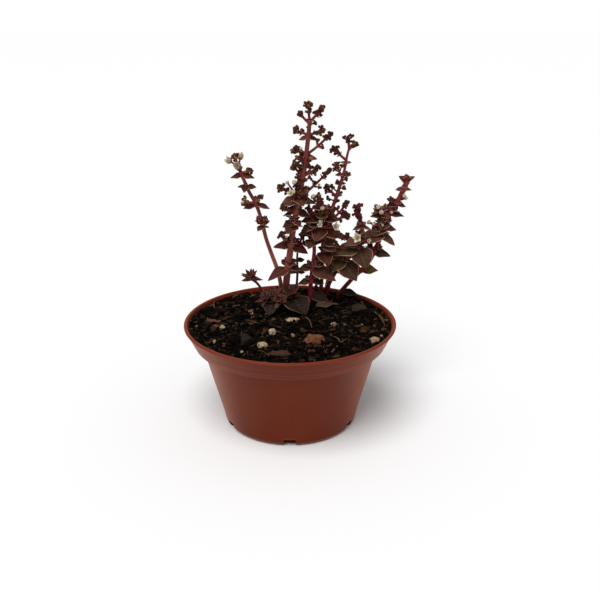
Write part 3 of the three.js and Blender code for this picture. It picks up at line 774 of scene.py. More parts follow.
def bark_chip(size, seed, tone):
    """An angular slab with its corners sheared off and its faces roughened."""
    draw, bm = warmed(seed), marked_mesh()
    bmesh.ops.create_cube(bm, size=2)
    bmesh.ops.scale(bm, vec=Vector(size) * 0.96, verts=bm.verts)
    for i in range(CHIP_CUTS):
        angle = i * GOLDEN_ANGLE + draw(-0.4, 0.4)
        lean = draw(-0.5, 0.5)
        normal = Vector((math.cos(angle) / size[0], math.sin(angle) / size[1], lean / size[2]))
        reach = draw(0.74, 0.9) / math.sqrt(1 + lean * lean * 0.4)
        whole = bm.verts[:] + bm.edges[:] + bm.faces[:]
        cut = bmesh.ops.bisect_plane(bm, geom=whole, plane_no=normal,
                                     plane_co=normal * reach / normal.length_squared,
                                     clear_outer=True)["geom_cut"]
        bmesh.ops.contextual_create(bm, geom=[g for g in cut if isinstance(g, bmesh.types.BMEdge)])
    bmesh.ops.triangulate(bm, faces=bm.faces)
    for _ in range(4):
        long_edges = [edge for edge in bm.edges if edge.calc_length() > CHIP_EDGE]
        bmesh.ops.subdivide_edges(bm, edges=long_edges, cuts=1)
        bmesh.ops.triangulate(bm, faces=[f for f in bm.faces if len(f.verts) > 3])
    bm.normal_update()
    grown = marks_in(bm)
    for vert in bm.verts:
        place = vert.co + Vector((seed * 9, 0, 0))
        layered = noise.noise(Vector((place.x * 0.5, place.y * 0.5, place.z * 2.6)))
        vert.co += vert.normal * (0.34 * layered + 0.12 * noise.noise(place * 3.1))
        vert[grown] = (0, 0, tone, 1)
    smooth(bm)
    return bm


for name, (place, size, turn, seed, tone) in BARK_CHIPS.items():
    chip = bark_chip(size, seed, tone)
    settled(chip, place, turn)
    finish_piece(f"{name}_shape", chip, [bark], [name])

# %% Perlite and the pale stone
PALE_GRAINS = {
    "perlite_large": ((-9.5, -19, 60.2), (2.6, 2.2, 2.4), 10, 41, 0.1),
    "perlite_oval": ((-14, -35.5, 59.7), (3.2, 2.3, 1.9), 5, 42, 0.25),
    "perlite_long": ((1, 0, 59.6), (4.6, 2.2, 1.7), 12, 43, 0.3),
    "perlite_left": ((-37.5, -10.5, 59.4), (1.8, 1.7, 1.5), 0, 44, 0.0),
    "perlite_right": ((24.5, -6.5, 59.6), (2, 1.5, 1.4), 0, 45, 0.2),
    "pale_stone": ((45.3, -28.5, 59.6), (3.2, 2.6, 2), 20, 46, 1.0),
}
for name, (place, size, turn, seed, tone) in PALE_GRAINS.items():
    lump = marked_mesh()
    bmesh.ops.create_icosphere(lump, subdivisions=4, radius=1)
    grown = marks_in(lump)
    for vert in lump.verts:
        probe = vert.co * 1.3 + Vector((seed * 5, 0, 0))
        facets = noise.voronoi(probe * 0.8)[0]
        dents = noise.noise(probe) * 0.2 + (facets[1] - facets[0]) * 0.22 - 0.1
        pits = max(0, 0.3 - noise.voronoi(probe * 3.2)[0][0]) * 0.4
        vert.co *= 0.93 + dents - pits
        vert[grown] = (0, 0, tone, 1)
    bmesh.ops.scale(lump, vec=size, verts=lump.verts)
    settled(lump, place, turn)
    smooth(lump)
    finish_piece(f"{name}_shape", lump, [pale_grain], [name])

# %% [markdown]
# ## Leaf, stem, bud and petal finishes
# Four finishes dress the whole plant. A leaf's corners carry how far across and how far along
# they lie, so the pale margin and the midrib follow each leaf wherever it points. A tone, drawn
# once for each leaf or bud, keeps neighbours from looking alike: a leaf's runs from a near-black
# brown, painted shade, over red and dull green to yellow, a stem's from pale brown to magenta, and
# a bud's from crimson over brown to cream. The margin and midrib fade on the darkest leaves, near
# the soil, where the painted shade is.
# On a petal the tone is how faded it is, and it brings out brown streaks.

# %% Leaf finish
leaf = Finish(
    "leaf_skin", Roughness=0.55, Specular_IOR_Level=0.12, Specular_Tint=(1, 0.85, 0.75, 1),
    Subsurface_Weight=0.26, Subsurface_Radius=(1.0, 0.35, 0.2), Subsurface_Scale=1.2 * MM,
)
across, along, tone, upper = leaf.marks()
mottle, papillae = leaf.grain(1.5, 4), leaf.grain(0.28, 2)
# The darkest tones are painted shade, so the mottle, blush, midrib and margin fade on them.
out_of_painted_shade = leaf.graded(tone, 0.0, 0.2, 0.35, 1.0)
vein_wave = leaf.maths("SUBTRACT", along, leaf.maths("MULTIPLY", across, 0.22))
vein_wave = leaf.maths("SINE", leaf.maths("MULTIPLY", vein_wave, 44.0))
# Tone 0 is painted shade: the near-black brown of the leaves near the soil.
leaf.colour = leaf.ramp(
    tone, (0.0, 24, 20, 13), (0.16, 74, 28, 21), (0.32, 82, 44, 33), (0.48, 100, 63, 48),
    (0.66, 56, 44, 27), (0.85, 76, 62, 31), (1.0, 130, 104, 44),
)
leaf.shade((56, 22, 18), mottle, 0.3, 0.7, 0.5, times=out_of_painted_shade)
leaf.shade((64, 20, 22), along, 0.72, 1.0, 0.45, times=out_of_painted_shade)
leaf.shade((104, 30, 34), upper, 0.65, 0.35, 0.5)
leaf.shade((100, 76, 62), vein_wave, 0.8, 1.0, 0.2)
leaf.shade((126, 98, 86), across, 0.14, 0.03, 0.2, times=out_of_painted_shade)
leaf.shade((170, 134, 116), across, 0.89, 0.965, 0.9, times=out_of_painted_shade)
leaf.dress(leaf.maths("ADD", papillae, leaf.graded(vein_wave, 0.8, 1.0, 0.0, 0.4)), 0.09, 0.7,
           Roughness=leaf.graded(mottle, 0.3, 0.7, 0.48, 0.62))

# %% Stem, bud and petal finishes
stem = Finish("stem_skin", Roughness=0.45, Specular_IOR_Level=0.22)
_, along, tone, _ = stem.marks()
fibre = stem.grain(0.55, upright=0.16)
stem.colour = stem.ramp(
    tone, (0.0, 190, 113, 78), (0.2, 136, 70, 60), (0.5, 108, 44, 37), (0.75, 124, 37, 37),
    (1.0, 142, 32, 47),
)
stem.shade((76, 30, 28), fibre, 0.4, 0.75, 0.5)
stem.shade((58, 30, 22), along, 0.3, 0.04, 0.8)
stem.dress(fibre, 0.1, 0.6)

bud = Finish("bud_skin", Roughness=0.5, Specular_IOR_Level=0.18)
_, along, tone, _ = bud.marks()
bud_mottle = bud.grain(0.6)
bud.colour = bud.ramp(
    tone, (0.0, 112, 12, 20), (0.3, 72, 22, 14), (0.6, 88, 44, 18), (0.85, 134, 88, 42),
    (0.93, 190, 176, 144), (1.0, 214, 206, 184),
)
bud.shade((30, 8, 7), along, 0.5, 0.9, times=bud.graded(tone, 0.6, 0.8, 0.8, 0.1))
bud.shade((52, 20, 14), bud_mottle, 0.4, 0.7, 0.35)
bud.dress(bud_mottle, 0.08, 0.6)

petal = Finish(
    "petal_skin", Roughness=0.55, Specular_IOR_Level=0.35,
    Subsurface_Weight=0.25, Subsurface_Radius=(1.0, 0.8, 0.6), Subsurface_Scale=0.8 * MM,
)
across, along, tone, _ = petal.marks()
streak_wave = petal.maths("SINE", petal.maths("MULTIPLY", across, 16.0))
petal.colour = petal.ramp(
    along, (0.0, 140, 122, 80), (0.3, 190, 182, 150), (0.8, 206, 198, 174), (1.0, 190, 156, 138),
)
petal.shade((176, 138, 110), across, 0.16, 0.02, 0.3)
petal.shade((122, 82, 50), streak_wave, -0.4, 0.9, times=tone)
petal.dress(petal.grain(0.5, 2), 0.05, 0.5)
STEM, LEAF, BUD, PETAL = range(4)
PLANT_FINISHES = [stem, leaf, bud, petal]

# %% [markdown]
# ## Leaves
# A leaf here is thick, broad near its foot and pointed, with a keel below and a shallow trough
# above. A ball drawn out to that outline keeps it closed and gives it a soft rim. The poles of
# the ball become its foot and its tip. The formula is the one that shapes the frame's leaves,
# with more rings and a gentle wave.

# %% Leaf helper
LEAF_SHAPE = 0.8
LEAF_FACE = Vector((0, -0.45, 1))


def down_ball(corner):
    """How far down a ball a corner lies, from 0 at its upper pole to 1 at its lower."""
    return math.acos(held(corner.z, -1)) / math.pi


def add_blade(bm, foot, tip, width, tone, thickness=1.2, up=UP, around=16, rings=12,
              index=LEAF, wave=0.03, curl=-0.12):
    """A pointed blade from foot to tip, trough side towards up, its tip raised by curl."""
    axis = tip - foot
    length = axis.length
    axis.normalize()
    face = (up - axis * up.dot(axis)).normalized()
    side = axis.cross(face)
    grown = marks_in(bm)
    for vert in copied(bm, template("ball", around, rings), index):
        along = down_ball(vert.co) ** 1.2
        ring = vert.co.xy.length
        cross, deep = vert.co.xy / ring if ring > 1e-5 else (0, 0)
        across = cross * math.sin(math.pi * along**0.67) ** 0.95 * width / 2
        depth = deep * thickness / 2 * math.sin(math.pi * along**0.7)
        depth *= 0.8 if deep > 0 else 1.25
        ripple = wave * length * math.sin(along * 9 + tone * 20) * cross * abs(cross)
        lift = depth + 0.22 * abs(across) + ripple * math.sin(math.pi * along)
        vert[grown] = (abs(cross), along, tone, 0 if deep < 0 else 1)
        vert.co = foot + axis * (along * length) + side * across
        vert.co += face * (lift + length * curl * along * along)


def leaf_tip(foot, azimuth, length, tilt):
    """Where a leaf ends that points this way and rises by tilt degrees."""
    heading, rise = math.radians(azimuth), math.radians(tilt)
    reach = Vector((math.cos(rise) * math.cos(heading), math.cos(rise) * math.sin(heading),
                    math.sin(rise)))
    return foot + reach * length


print("a leaf 10 mm long is", 10 * LEAF_SHAPE, "mm broad")

# %% [markdown]
# ## Buds and sprays
# The flower twigs end in knots of buds. Successive buds turn by the golden angle, so none
# hides another. Each knot of the frame keeps its buds where they are and gets smaller ones
# below them, with a pair of little bracts where the twig forks. So two streams of numbers are
# at work: draw gives those that the frame's solids were made with, and extra gives the rest.
# A kind of rod is named with its radius, sides and steps, as TWIG is, and the loose buds on it
# with their number and how far down the rod they reach, as KNOT_EXTRAS is.

# %% Bud helpers
BUD_LENGTH = 2.4
BUD_RADIUS = 1.0
PALEST_BUD = 0.86
CREAM_SHARE, CREAM_TONE = 0.02, 0.97
KNOT_EXTRAS = (8, 3.2)


def add_bud(bm, foot, direction, length, radius, tone, index=BUD):
    """A drop-shaped bud, widest past its middle and drawn to a point."""
    turn = UP.rotation_difference(direction)
    grown = marks_in(bm)
    for vert in copied(bm, template("ball", 8, 6), index):
        share = 1 - down_ball(vert.co)
        ring = vert.co.xy.length
        spread = radius * math.sin(math.pi * share**1.45) ** 0.85 / ring if ring > 1e-5 else 0
        local = Vector((vert.co.x * spread, vert.co.y * spread, share * length))
        vert[grown] = (0.5, share, tone, 1)
        vert.co = foot + turn @ local


def splayed(heading, away, around):
    """A direction leaning away from a heading, at an angle round it."""
    leaning = Vector((math.sin(away) * math.cos(around), math.sin(away) * math.sin(around),
                      math.cos(away)))
    return UP.rotation_difference(heading) @ leaning


def add_knot(bm, twig, count, draw, extra, hue):
    """The buds at the end of a twig: the frame's own, then smaller ones below them."""
    direction, end = twig.heading(1), twig.at(1)
    for i in range(count):
        away = 0.25 + 1.35 * i / count
        around = i * GOLDEN_ANGLE + draw() * 0.6
        foot = end - direction * (0.4 + 0.45 * i)
        size = 0.85 + 0.3 * draw()
        outward = splayed(direction, away, around)
        tone = held(hue + extra(-0.25, 0.3), high=PALEST_BUD)
        add_bud(bm, foot, outward, BUD_LENGTH * size, BUD_RADIUS * size, tone)
    add_loose_buds(bm, twig, extra, hue, *KNOT_EXTRAS)


def add_loose_buds(bm, twig, extra, hue, count, spread):
    """Smaller buds in a spiral round the last stretch of a twig, as long as spread."""
    direction = twig.heading(1)
    for i in range(count):
        foot = twig.at(1) - direction * spread * i / count
        outward = splayed(direction, extra(0.3, 1.3), i * GOLDEN_ANGLE + extra(0, 1.2))
        size = extra(0.7, 1.0)
        cream = extra() < CREAM_SHARE
        tone = CREAM_TONE if cream else held(hue + extra(-0.3, 0.3), high=PALEST_BUD)
        add_bud(bm, foot, outward, BUD_LENGTH * size, BUD_RADIUS * size, tone)


print("a bud is", BUD_LENGTH, "mm long and", 2 * BUD_RADIUS, "mm thick")

# %% Spray helpers
FORKS = (0.45, 0.75)
LONG_TWIG = 8
TWIG = (tapered(0.85, 0.65), 7, 6)
ARM, ARM_LENGTHS, ARM_BUDS = (tapered(0.55, 0.45), 5, 3), (1.8, 3.2), (4, 1.2)
BRACT = dict(thickness=0.7, around=8, rings=6)
BRACT_LENGTH, BRACT_LEAN = 3.0, 1.05


def add_bracts(bm, foot, heading, extra, length=BRACT_LENGTH):
    """Two small leaves that face one another under a fork."""
    spin = extra(0, math.pi)
    for i in range(2):
        outward = splayed(heading, BRACT_LEAN, spin + i * math.pi)
        tip = foot + outward * length * extra(0.85, 1.15)
        add_blade(bm, foot, tip, length * 0.6, extra(), up=heading, **BRACT)


def twig_tone(plan):
    """Twigs are as red as their stem's tip, and a little redder."""
    return min(1, plan["tip_tone"] + 0.2)


def add_spray(bm, twig, count, draw, extra, plan):
    """A flower twig that forks on its way, with a knot of buds on each of its ends."""
    tone, hue = twig_tone(plan), plan["bud_tone"]
    add_rod(bm, twig, *TWIG, tone, STEM)
    add_knot(bm, twig, count, draw, extra, hue)
    spin = extra(0, math.pi)
    for i, share in enumerate(FORKS if twig.length > LONG_TWIG else FORKS[1:]):
        start, heading = twig.at(share), twig.heading(share)
        add_bracts(bm, start, heading, extra)
        for side in (0, math.pi):
            outward = splayed(heading, extra(0.6, 0.95), spin + i * 1.4 + side)
            outward.z = max(outward.z, -0.1)
            arm = bow(start, start + outward.normalized() * extra(*ARM_LENGTHS))
            add_rod(bm, arm, *ARM, tone, STEM)
            add_loose_buds(bm, arm, extra, hue, *ARM_BUDS)


print("forks on a long twig:", len(FORKS))

# %% [markdown]
# ## Young shoots
# In the angle between a leaf and the stem sits a young shoot: three crossed pairs of leaves a
# few millimetres long that still close into a cup. They make the plant look dense. Two of the
# lowest stems end in a tuft instead: narrow leaves that spread like a star.

# %% Young shoots and tufts
SHOOT_PAIRS = 3
SHOOT_STALK_TONE = 0.8
SHOOT_LEAF = dict(thickness=0.9, around=10, rings=7, curl=0.12)
TUFT_LEAF = dict(thickness=0.8, around=8, rings=7)
TUFT_TONES, TUFT_CURLS = (0.16, 0.44), (-0.2, 0.1)


def add_young_shoot(bm, foot, outward, extra, size, tone):
    """Crossed pairs of small leaves that close into a cup on a short stalk."""
    heading = (outward * 0.55 + UP).normalized()
    stalk = Course([foot, foot + heading * size * 0.6])
    add_rod(bm, stalk, 0.17 * size, 7, 2, SHOOT_STALK_TONE, STEM)
    spin = extra(0, math.pi)
    for level in range(SHOOT_PAIRS):
        start = stalk.at(0.4 + 0.3 * level)
        for side in (0, math.pi):
            away = 1.2 - 0.4 * level
            reach = splayed(heading, away, spin + side + level * math.pi / 2)
            length = size * extra(0.85, 1.1) * (1 - 0.14 * level)
            own_tone = held(tone + extra(-0.28, 0.1), high=0.8)
            add_blade(bm, start, start + reach * length, length * 0.9, own_tone, up=heading,
                      **SHOOT_LEAF)
    add_bud(bm, stalk.at(1), heading, size * 0.5, radius=0.7, tone=0.2)


def add_tuft(bm, foot, heading, extra, count, length):
    """Narrow leaves that spread from the tip of a young stem."""
    for i in range(count):
        reach = splayed(heading, 0.25 + 1.35 * i / count, i * GOLDEN_ANGLE)
        tip = foot + reach * length * extra(0.7, 1.1)
        add_blade(bm, foot, tip, length * 0.42, extra(*TUFT_TONES), up=heading,
                  curl=extra(*TUFT_CURLS), **TUFT_LEAF)


print("pairs of leaves on a young shoot:", SHOOT_PAIRS)

# %% [markdown]
# ## Flowers
# An open flower is a star of five cream petals over a small calyx, with five carpels in its
# heart and anthers on short threads between the petals. The petals are blades like the leaves,
# only thinner, with their trough towards the flower's axis. In a half-open flower they splay
# less and curl inwards at their tips. A faded one has longer petals with brown streaks.

# %% Flower helper
PETAL_COUNT = 5
OPEN_SPLAY = 46
SEPAL_SPLAY, THREAD_SPLAY, CARPEL_SPLAY = math.radians(58), math.radians(36), math.radians(20)
ANTHER_SPLAY = 0.6
PETAL_SHAPE = dict(thickness=0.5, around=10, rings=8, index=PETAL)
SEPAL_SHAPE = dict(thickness=0.5, around=6, rings=5)
THREAD, ANTHER, CARPEL_TONE = (0.05, 4, 1, 0.5), (0.42, 0.17, 0.3), 0.89


def add_flower(bm, centre, direction, radius, splay, faded, draw, extra):
    """A five-petalled flower on a stalk's end, looking along direction."""
    turn = Vector((0, 1, 0)).rotation_difference(direction)
    breadth, curl = (0.8, 0.3) if splay < OPEN_SPLAY else (0.74, -0.05)

    def outward(away, azimuth):
        return turn @ Vector((math.sin(away) * math.cos(azimuth), math.cos(away),
                              -math.sin(away) * math.sin(azimuth)))

    for i in range(PETAL_COUNT):
        azimuth = (i + 0.2 * draw()) * 2 * math.pi / PETAL_COUNT
        between = azimuth + math.pi / PETAL_COUNT
        length = radius * (1.3 + 0.35 * faded + 0.16 * draw())
        tip = centre + outward(math.radians(splay), azimuth) * length
        add_blade(bm, centre, tip, length * breadth, faded, up=direction, curl=curl, **PETAL_SHAPE)
        foot = centre - direction * 0.1
        sepal_tip = foot + outward(SEPAL_SPLAY, between) * radius * 0.75
        add_blade(bm, foot, sepal_tip, radius * 0.36, extra(), up=direction, **SEPAL_SHAPE)
        add_bud(bm, centre, outward(CARPEL_SPLAY, azimuth), radius * 0.75, radius * 0.15,
                CARPEL_TONE)
        thread = Course([centre, centre + outward(THREAD_SPLAY, between) * radius * 0.85])
        add_rod(bm, thread, *THREAD, PETAL)
        anther_foot = thread.at(1) - direction * 0.1
        add_bud(bm, anther_foot, outward(ANTHER_SPLAY, between), *ANTHER)


print("petals on each flower:", PETAL_COUNT)

# %% [markdown]
# ## The stems
# Each stem is listed as it grows: the points of its path, its radii at the foot and the tip, its
# leaf pairs, single leaves, sprays and blooms. Heights are above the table, azimuth 0 is to the
# right and 90 to the back. A leaf is (height, azimuth, length, tilt), with its width as a share
# of the length if that is unusual. A spray is (height on the stem, end of its twig, number of
# buds), and a bloom is (height on the stem, foot of the flower, radius).
#
# Some stems have more. White buds are (height, place), with a tone if they aren't cream. Fringes
# are single small buds on the stem (from height, to height, azimuth, number), a tuft is (place,
# heading, number of leaves, length), and a crown is the number of buds round the tip and how far
# down they reach. Leaves under yellow_below are yellower. Splay says by how many degrees the
# petals open, and faded how brown they are. What a stem leaves out is in BARE_STEM.

# %% The list of stems
BARE_STEM = dict(
    pairs=[], singles=[], sprays=[], blooms=[], white_buds=[], fringes=[], tufts=[],
    crown=(0, 0), yellow_below=0, splay=OPEN_SPLAY, faded=0,
)
LEAFY_STEMS = [
    dict(
        node="main", seed=11, radii=(2.4, 1.15), stem_tone=0.2, tip_tone=0.5, bud_tone=0.5,
        leaf_tone=0.24,
        fringes=[(127, 151, 175, 13), (126, 146, 10, 7), (108, 122, 160, 6), (160, 167, 60, 3)],
        path=[(-4, 26, 50), (-3, 25, 62), (-2.6, 24, 73), (-0.8, 23, 88), (1.8, 22, 108),
              (5, 22, 125), (8, 22, 142), (10, 22, 158), (11, 22, 168.6)],
        pairs=[(85, 130, 7, 22), (109, 70, 10, -8, 0.85), (117, 172, 8.5, -12, 0.85),
               (124, 12, 11, -8, 0.85), (125, 104, 10, -8, 0.85),
               (136, 80, 7, -10), (148, 176, 6.5, -2), (159, 4, 5.5, -8), (168, 0, 3, 15)],
        singles=[(83, 216, 15, -14, 0.6), (83, 8, 9, -4), (97, 178, 10.5, 0, 0.8),
                 (97, 352, 11, -18, 0.85), (111, 214, 8, -8, 0.75), (112, 300, 7, -8)],
        sprays=[(97, (-5, 19, 105), 3), (117, (-4, 20, 120), 3), (124, (-6, 25, 131), 3),
                (124, (9, 16, 130), 3), (124, (22, 27, 140), 3), (136, (2, 24, 143), 3),
                (136, (15, 19, 143), 3), (148, (3, 17, 145), 3), (148, (3, 25, 152), 3),
                (148, (22, 20, 161), 3), (159, (3, 26, 163), 3), (159, (17.5, 18, 163.5), 4),
                (165, (5.5, 22, 172), 2), (166, (10, 22, 177), 3), (166, (17.5, 21, 175), 3)],
        blooms=[(124, (1, 16, 129), 2.2), (124, (-1, 19, 134), 1.6)],
        white_buds=[(125, (2.2, 18, 129)), (131, (2.8, 18, 134.6)),
                    (142, (11.4, 17, 147.9), 0.84)],
    ),
    dict(
        node="thin", seed=12, radii=(0.9, 0.6), stem_tone=0.85, bud_tone=0.3, leaf_tone=0.2,
        path=[(2, 33, 50), (3, 32, 62), (4, 30, 77), (4, 28, 90), (5, 27, 98)],
        pairs=[(79, 10, 5, -8), (86, 20, 5, 8)],
        sprays=[(90, (7, 26, 103), 4)],
    ),
    dict(
        node="left", seed=13, radii=(1.4, 0.9), stem_tone=-0.1, tip_tone=1.0, bud_tone=0.64,
        leaf_tone=0.3, crown=(18, 5), splay=40, faded=0.8,
        path=[(-8, 30, 50), (-7, 29, 61), (-6, 28, 71), (-8, 26, 82), (-11, 23, 92),
              (-14, 19, 103), (-16, 17, 113), (-19, 16, 123), (-23, 15, 131), (-26, 14, 139),
              (-28.5, 14, 146)],
        pairs=[(110, 60, 6, -10), (111, 150, 5, 30), (122.5, 178, 8, -10), (133, 170, 5.5, 5),
               (134, 80, 6, -25), (139.5, 178, 7, -6)],
        sprays=[(122.5, (-25, 13, 125), 3), (122.5, (-18, 17, 126), 3),
                (139.5, (-23, 15, 142), 3), (143.5, (-30, 14.4, 149.8), 3)],
        blooms=[(143, (-31.6, 13, 147), 2.5), (143, (-27.4, 16, 148), 2.5),
                (141, (-28, 11, 144.5), 2.8)],
    ),
    dict(
        node="star", seed=14, radii=(0.9, 0.7), stem_tone=1.0, bud_tone=0.2, leaf_tone=0.15,
        path=[(-11, 25, 50), (-13, 22, 61), (-17, 18, 72), (-20, 16, 77), (-23, 14, 80)],
        pairs=[(78, 100, 6.5, 20, 0.4), (79, 10, 6.5, 0, 0.4), (79.5, 55, 6, 40, 0.4)],
        tufts=[((-23, 14, 80), (-0.2, -0.3, 1), 14, 7.4)],
    ),
    dict(
        node="low_left", seed=15, radii=(1.1, 0.9), stem_tone=0.3, bud_tone=0.3, leaf_tone=0.2,
        path=[(-9, 20, 50), (-9, 18, 60), (-10, 16, 68)],
        pairs=[(64, 20, 10, 4), (65.5, 58, 7.5, 14), (67, 66, 8, 32)],
        tufts=[((-10, 16, 68), (-0.3, -0.5, 1), 14, 8), ((-14, 14, 67), (-0.6, -0.5, 0.7), 10, 7),
               ((-6, 12, 67), (-0.2, -0.8, 0.8), 10, 7)],
        singles=[(66.5, 256, 13, -24, 0.85)],
    ),
    dict(
        node="low_front", seed=16, radii=(1.1, 0.9), stem_tone=0.3, bud_tone=0.3, leaf_tone=0.1,
        path=[(1, 20, 50), (1, 18, 58), (0, 18, 72)],
        singles=[(66.5, 302, 17, -14, 0.95), (71, 262, 9, 8, 0.9),
                           (71, 55, 8, 20), (66, 355, 9, 4), (67.5, 186, 7, 12)],
    ),
    dict(
        node="centre", seed=17, radii=(1.5, 0.9), stem_tone=1.0, bud_tone=0.4, leaf_tone=0.45,
        path=[(12, 33, 50), (12, 31, 60), (12, 29, 71), (13, 28, 82), (14, 27, 93),
              (13, 26, 103), (12, 25, 112), (11, 25, 119)],
        pairs=[(73, 186, 8.5, -6), (99, 252, 10, -8, 0.8), (108, 228, 8.4, -12),
               (109, 104, 7.4, 0)],
        singles=[(64, 332, 13, -6, 0.6), (81, 338, 16, -16, 0.66), (82, 190, 9, -2),
                 (97, 150, 9, 0)],
        sprays=[(103, (8, 21, 105), 3), (112, (11.5, 21, 118), 2)],
    ),
    dict(
        node="centre", seed=18, radii=(1.35, 0.8), stem_tone=0.7, bud_tone=0.45, leaf_tone=0.45,
        path=[(17, 37, 50), (18, 35, 62), (19, 32, 78), (19, 29, 92), (19, 27, 103),
              (18, 25, 112), (17, 23, 119), (16, 20, 125)],
        pairs=[(98, 165, 11, -8), (105, 345, 13, -10, 0.8),
               (113, 10, 12, -4), (114, 100, 9, 8), (119, 45, 7, 12)],
        singles=[(106.5, 244, 12, -22, 0.8), (91, 288, 12, -20), (96, 322, 10, -10, 0.8),
                 (85, 215, 10, -4)],
        sprays=[(119, (16, 17, 127), 3), (112, (24, 21, 118), 3)],
        blooms=[(105, (25, 20, 109), 3), (108, (17, 17, 111), 1.6)],
        white_buds=[(108, (17.6, 20, 111.8)), (115, (18.1, 20, 119.4)), (121, (13.5, 20, 126))],
    ),
    dict(
        node="tall_right", seed=19, radii=(2.0, 0.65), stem_tone=0.25, tip_tone=0.7, bud_tone=0.5,
        leaf_tone=0.5,
        fringes=[(112, 140, 5, 6), (110, 134, 180, 5)],
        path=[(22, 43, 50), (22, 41, 60), (24, 38, 76), (25, 37, 86), (24, 35, 98),
              (23.5, 34, 107), (24.5, 34, 116), (27, 34, 124), (29, 34, 131), (31, 34, 138),
              (32.5, 34, 147), (34, 34, 153)],
        pairs=[(78, 12, 8.5, -20), (86, 188, 13, 0), (94, 80, 9, 12), (124, 0, 3.5, 10),
               (131, 10, 3.5, 5), (136, 0, 5, 5), (143, 178, 3.5, 12)],
        sprays=[(107, (33, 33, 120), 3), (107, (33, 31, 113), 3), (98, (34, 33, 99), 3),
                (122, (21, 35, 129), 3), (133, (26.5, 35, 142), 3), (143, (25, 35, 151), 3),
                (149, (36.5, 34, 154), 3), (150, (32.8, 34, 157), 3)],
    ),
    dict(
        node="right", seed=20, radii=(1.5, 0.9), stem_tone=0.75, bud_tone=0.0, leaf_tone=0.66,
        crown=(34, 12),
        path=[(19, 40, 50), (20, 38, 58), (23, 35, 69), (27, 32, 78), (31, 30, 85),
              (36, 29, 89), (41, 28, 96), (42, 27, 104), (41, 27, 110), (39, 27, 118)],
        pairs=[(102, 100, 5, 5), (107, 183, 6, -12)],
        singles=[(99, 200, 12, -8, 0.8), (93, 195, 16, -4, 0.85), (94, 297, 14, -44, 1.0),
                 (84.5, 318, 14.5, -35, 1.0), (84, 158, 7, 0), (86, 215, 11, -25, 0.85)],
        sprays=[(110, (38, 26, 115), 3), (113, (39, 27, 119), 3)],
        blooms=[(98, (39, 21, 102), 3), (98, (45, 23, 100), 1.5)],
        white_buds=[(92, (26, 27, 95.9))],
    ),
    dict(
        node="arched", seed=21, radii=(1.25, 1.5), stem_tone=0.8, bud_tone=0.4, leaf_tone=0.5,
        yellow_below=90, splay=24,
        path=[(28, 40, 50), (30, 39, 61), (37, 38, 71), (47, 38, 82), (53, 38, 95.5),
              (57, 38, 109), (63, 38, 119.5), (67.5, 38, 130), (68.5, 38, 134)],
        pairs=[(77, 357, 10.5, 5, 0.9), (88, 353, 10.5, -4, 0.9), (99, 345, 10.5, -28),
               (104, 15, 9, -10), (112, 169, 9, -1), (118, 2, 6.5, -10), (119, 100, 6, 6),
               (127, 0, 5, -2), (128, 90, 4, 8), (131, 0, 6, 42, 0.9), (131.5, 90, 5.5, 50, 0.9)],
        singles=[(63, 350, 11, -4, 0.55), (100, 218, 16, -8, 0.8), (105, 218, 11, -25, 0.9),
                 (105, 85, 9, -10), (107, 250, 8, -20, 0.9)],
        sprays=[(108, (51, 36, 115), 2), (113, (59, 36, 121), 2)],
        blooms=[(103, (49, 30, 108), 1.7), (103, (54, 31, 107), 1.5),
                (110, (59, 33, 114), 1.7), (119, (67, 35, 122), 1.5)],
        white_buds=[(103, (47.1, 36, 107.1)), (102, (50.1, 36, 105.9)), (103, (54.2, 36, 105.9)),
                    (111, (51.6, 31.5, 117.4)), (110, (53.4, 31.5, 114.4)), (122, (66, 36, 123))],
    ),
    dict(
        node="arched", seed=22, radii=(0.75, 0.55), stem_tone=0.6, bud_tone=0.3, leaf_tone=0.5,
        path=[(57, 38, 108), (54.5, 37, 110), (52, 36, 112.5), (50.5, 36, 115)],
        pairs=[(111.5, 5, 6, 0), (113.5, 95, 5, 20)],
    ),
]
print("stems:", len(LEAFY_STEMS))

# %% [markdown]
# ## Growing a stem
# A stem swells where a pair of leaves clasps it. The rest is placed from the list: the leaves
# on the line itself, the twigs a little above a leaf's foot, in its axil, where real ones grow.
# Young shoots stand in the axils too, between the two heights that SHOOTS gives for a stem, and
# their size is a share of their leaf's length. Leaves near the soil would lie in the shade of the
# others, so they are painted with the darkest tone, as painted shade.

# %% Stem, leaf and shoot helpers
STEM_SIDES = 12
STEM_STEP = 1.5
SWELL, SWELL_REACH = 0.32, 1.1
# Under this height a leaf is painted with the darkest tone, as painted shade.
SHADE_PAINTED_BELOW = 68
SHOOTS = {"main": (84, 126, 0.42), "centre": (72, 120, 0.42), "right": (80, 108, 0.36),
          "tall_right": (70, 96, 0.4), "arched": (80, 117, 0.62), "left": (105, 115, 0.7),
          "low_left": (60, 70, 0.45), "low_front": (60, 72, 0.3)}
SHOOT_LIMITS = (2.4, 5.0)
SHORT_LEAF = 4.5
AXIL_STEP = 0.8
YELLOWING = 0.4


def add_stem(bm, plan, line):
    """The stem's own rod, swollen at each pair of leaves, with its tone at foot and tip."""
    joints = [line.share_at_height(height) for height, *_ in plan["pairs"] + plan["singles"]]
    slim = tapered(*plan["radii"])

    def radius_at(share):
        near = min((abs(share - joint) * line.length for joint in joints), default=99)
        return slim(share) * (1 + SWELL * math.exp(-((near / SWELL_REACH) ** 2)))

    def tone_at(share):
        return plan["stem_tone"] + (plan["tip_tone"] - plan["stem_tone"]) * share * share

    add_rod(bm, line, radius_at, STEM_SIDES, round(line.length / STEM_STEP), tone_at, STEM)


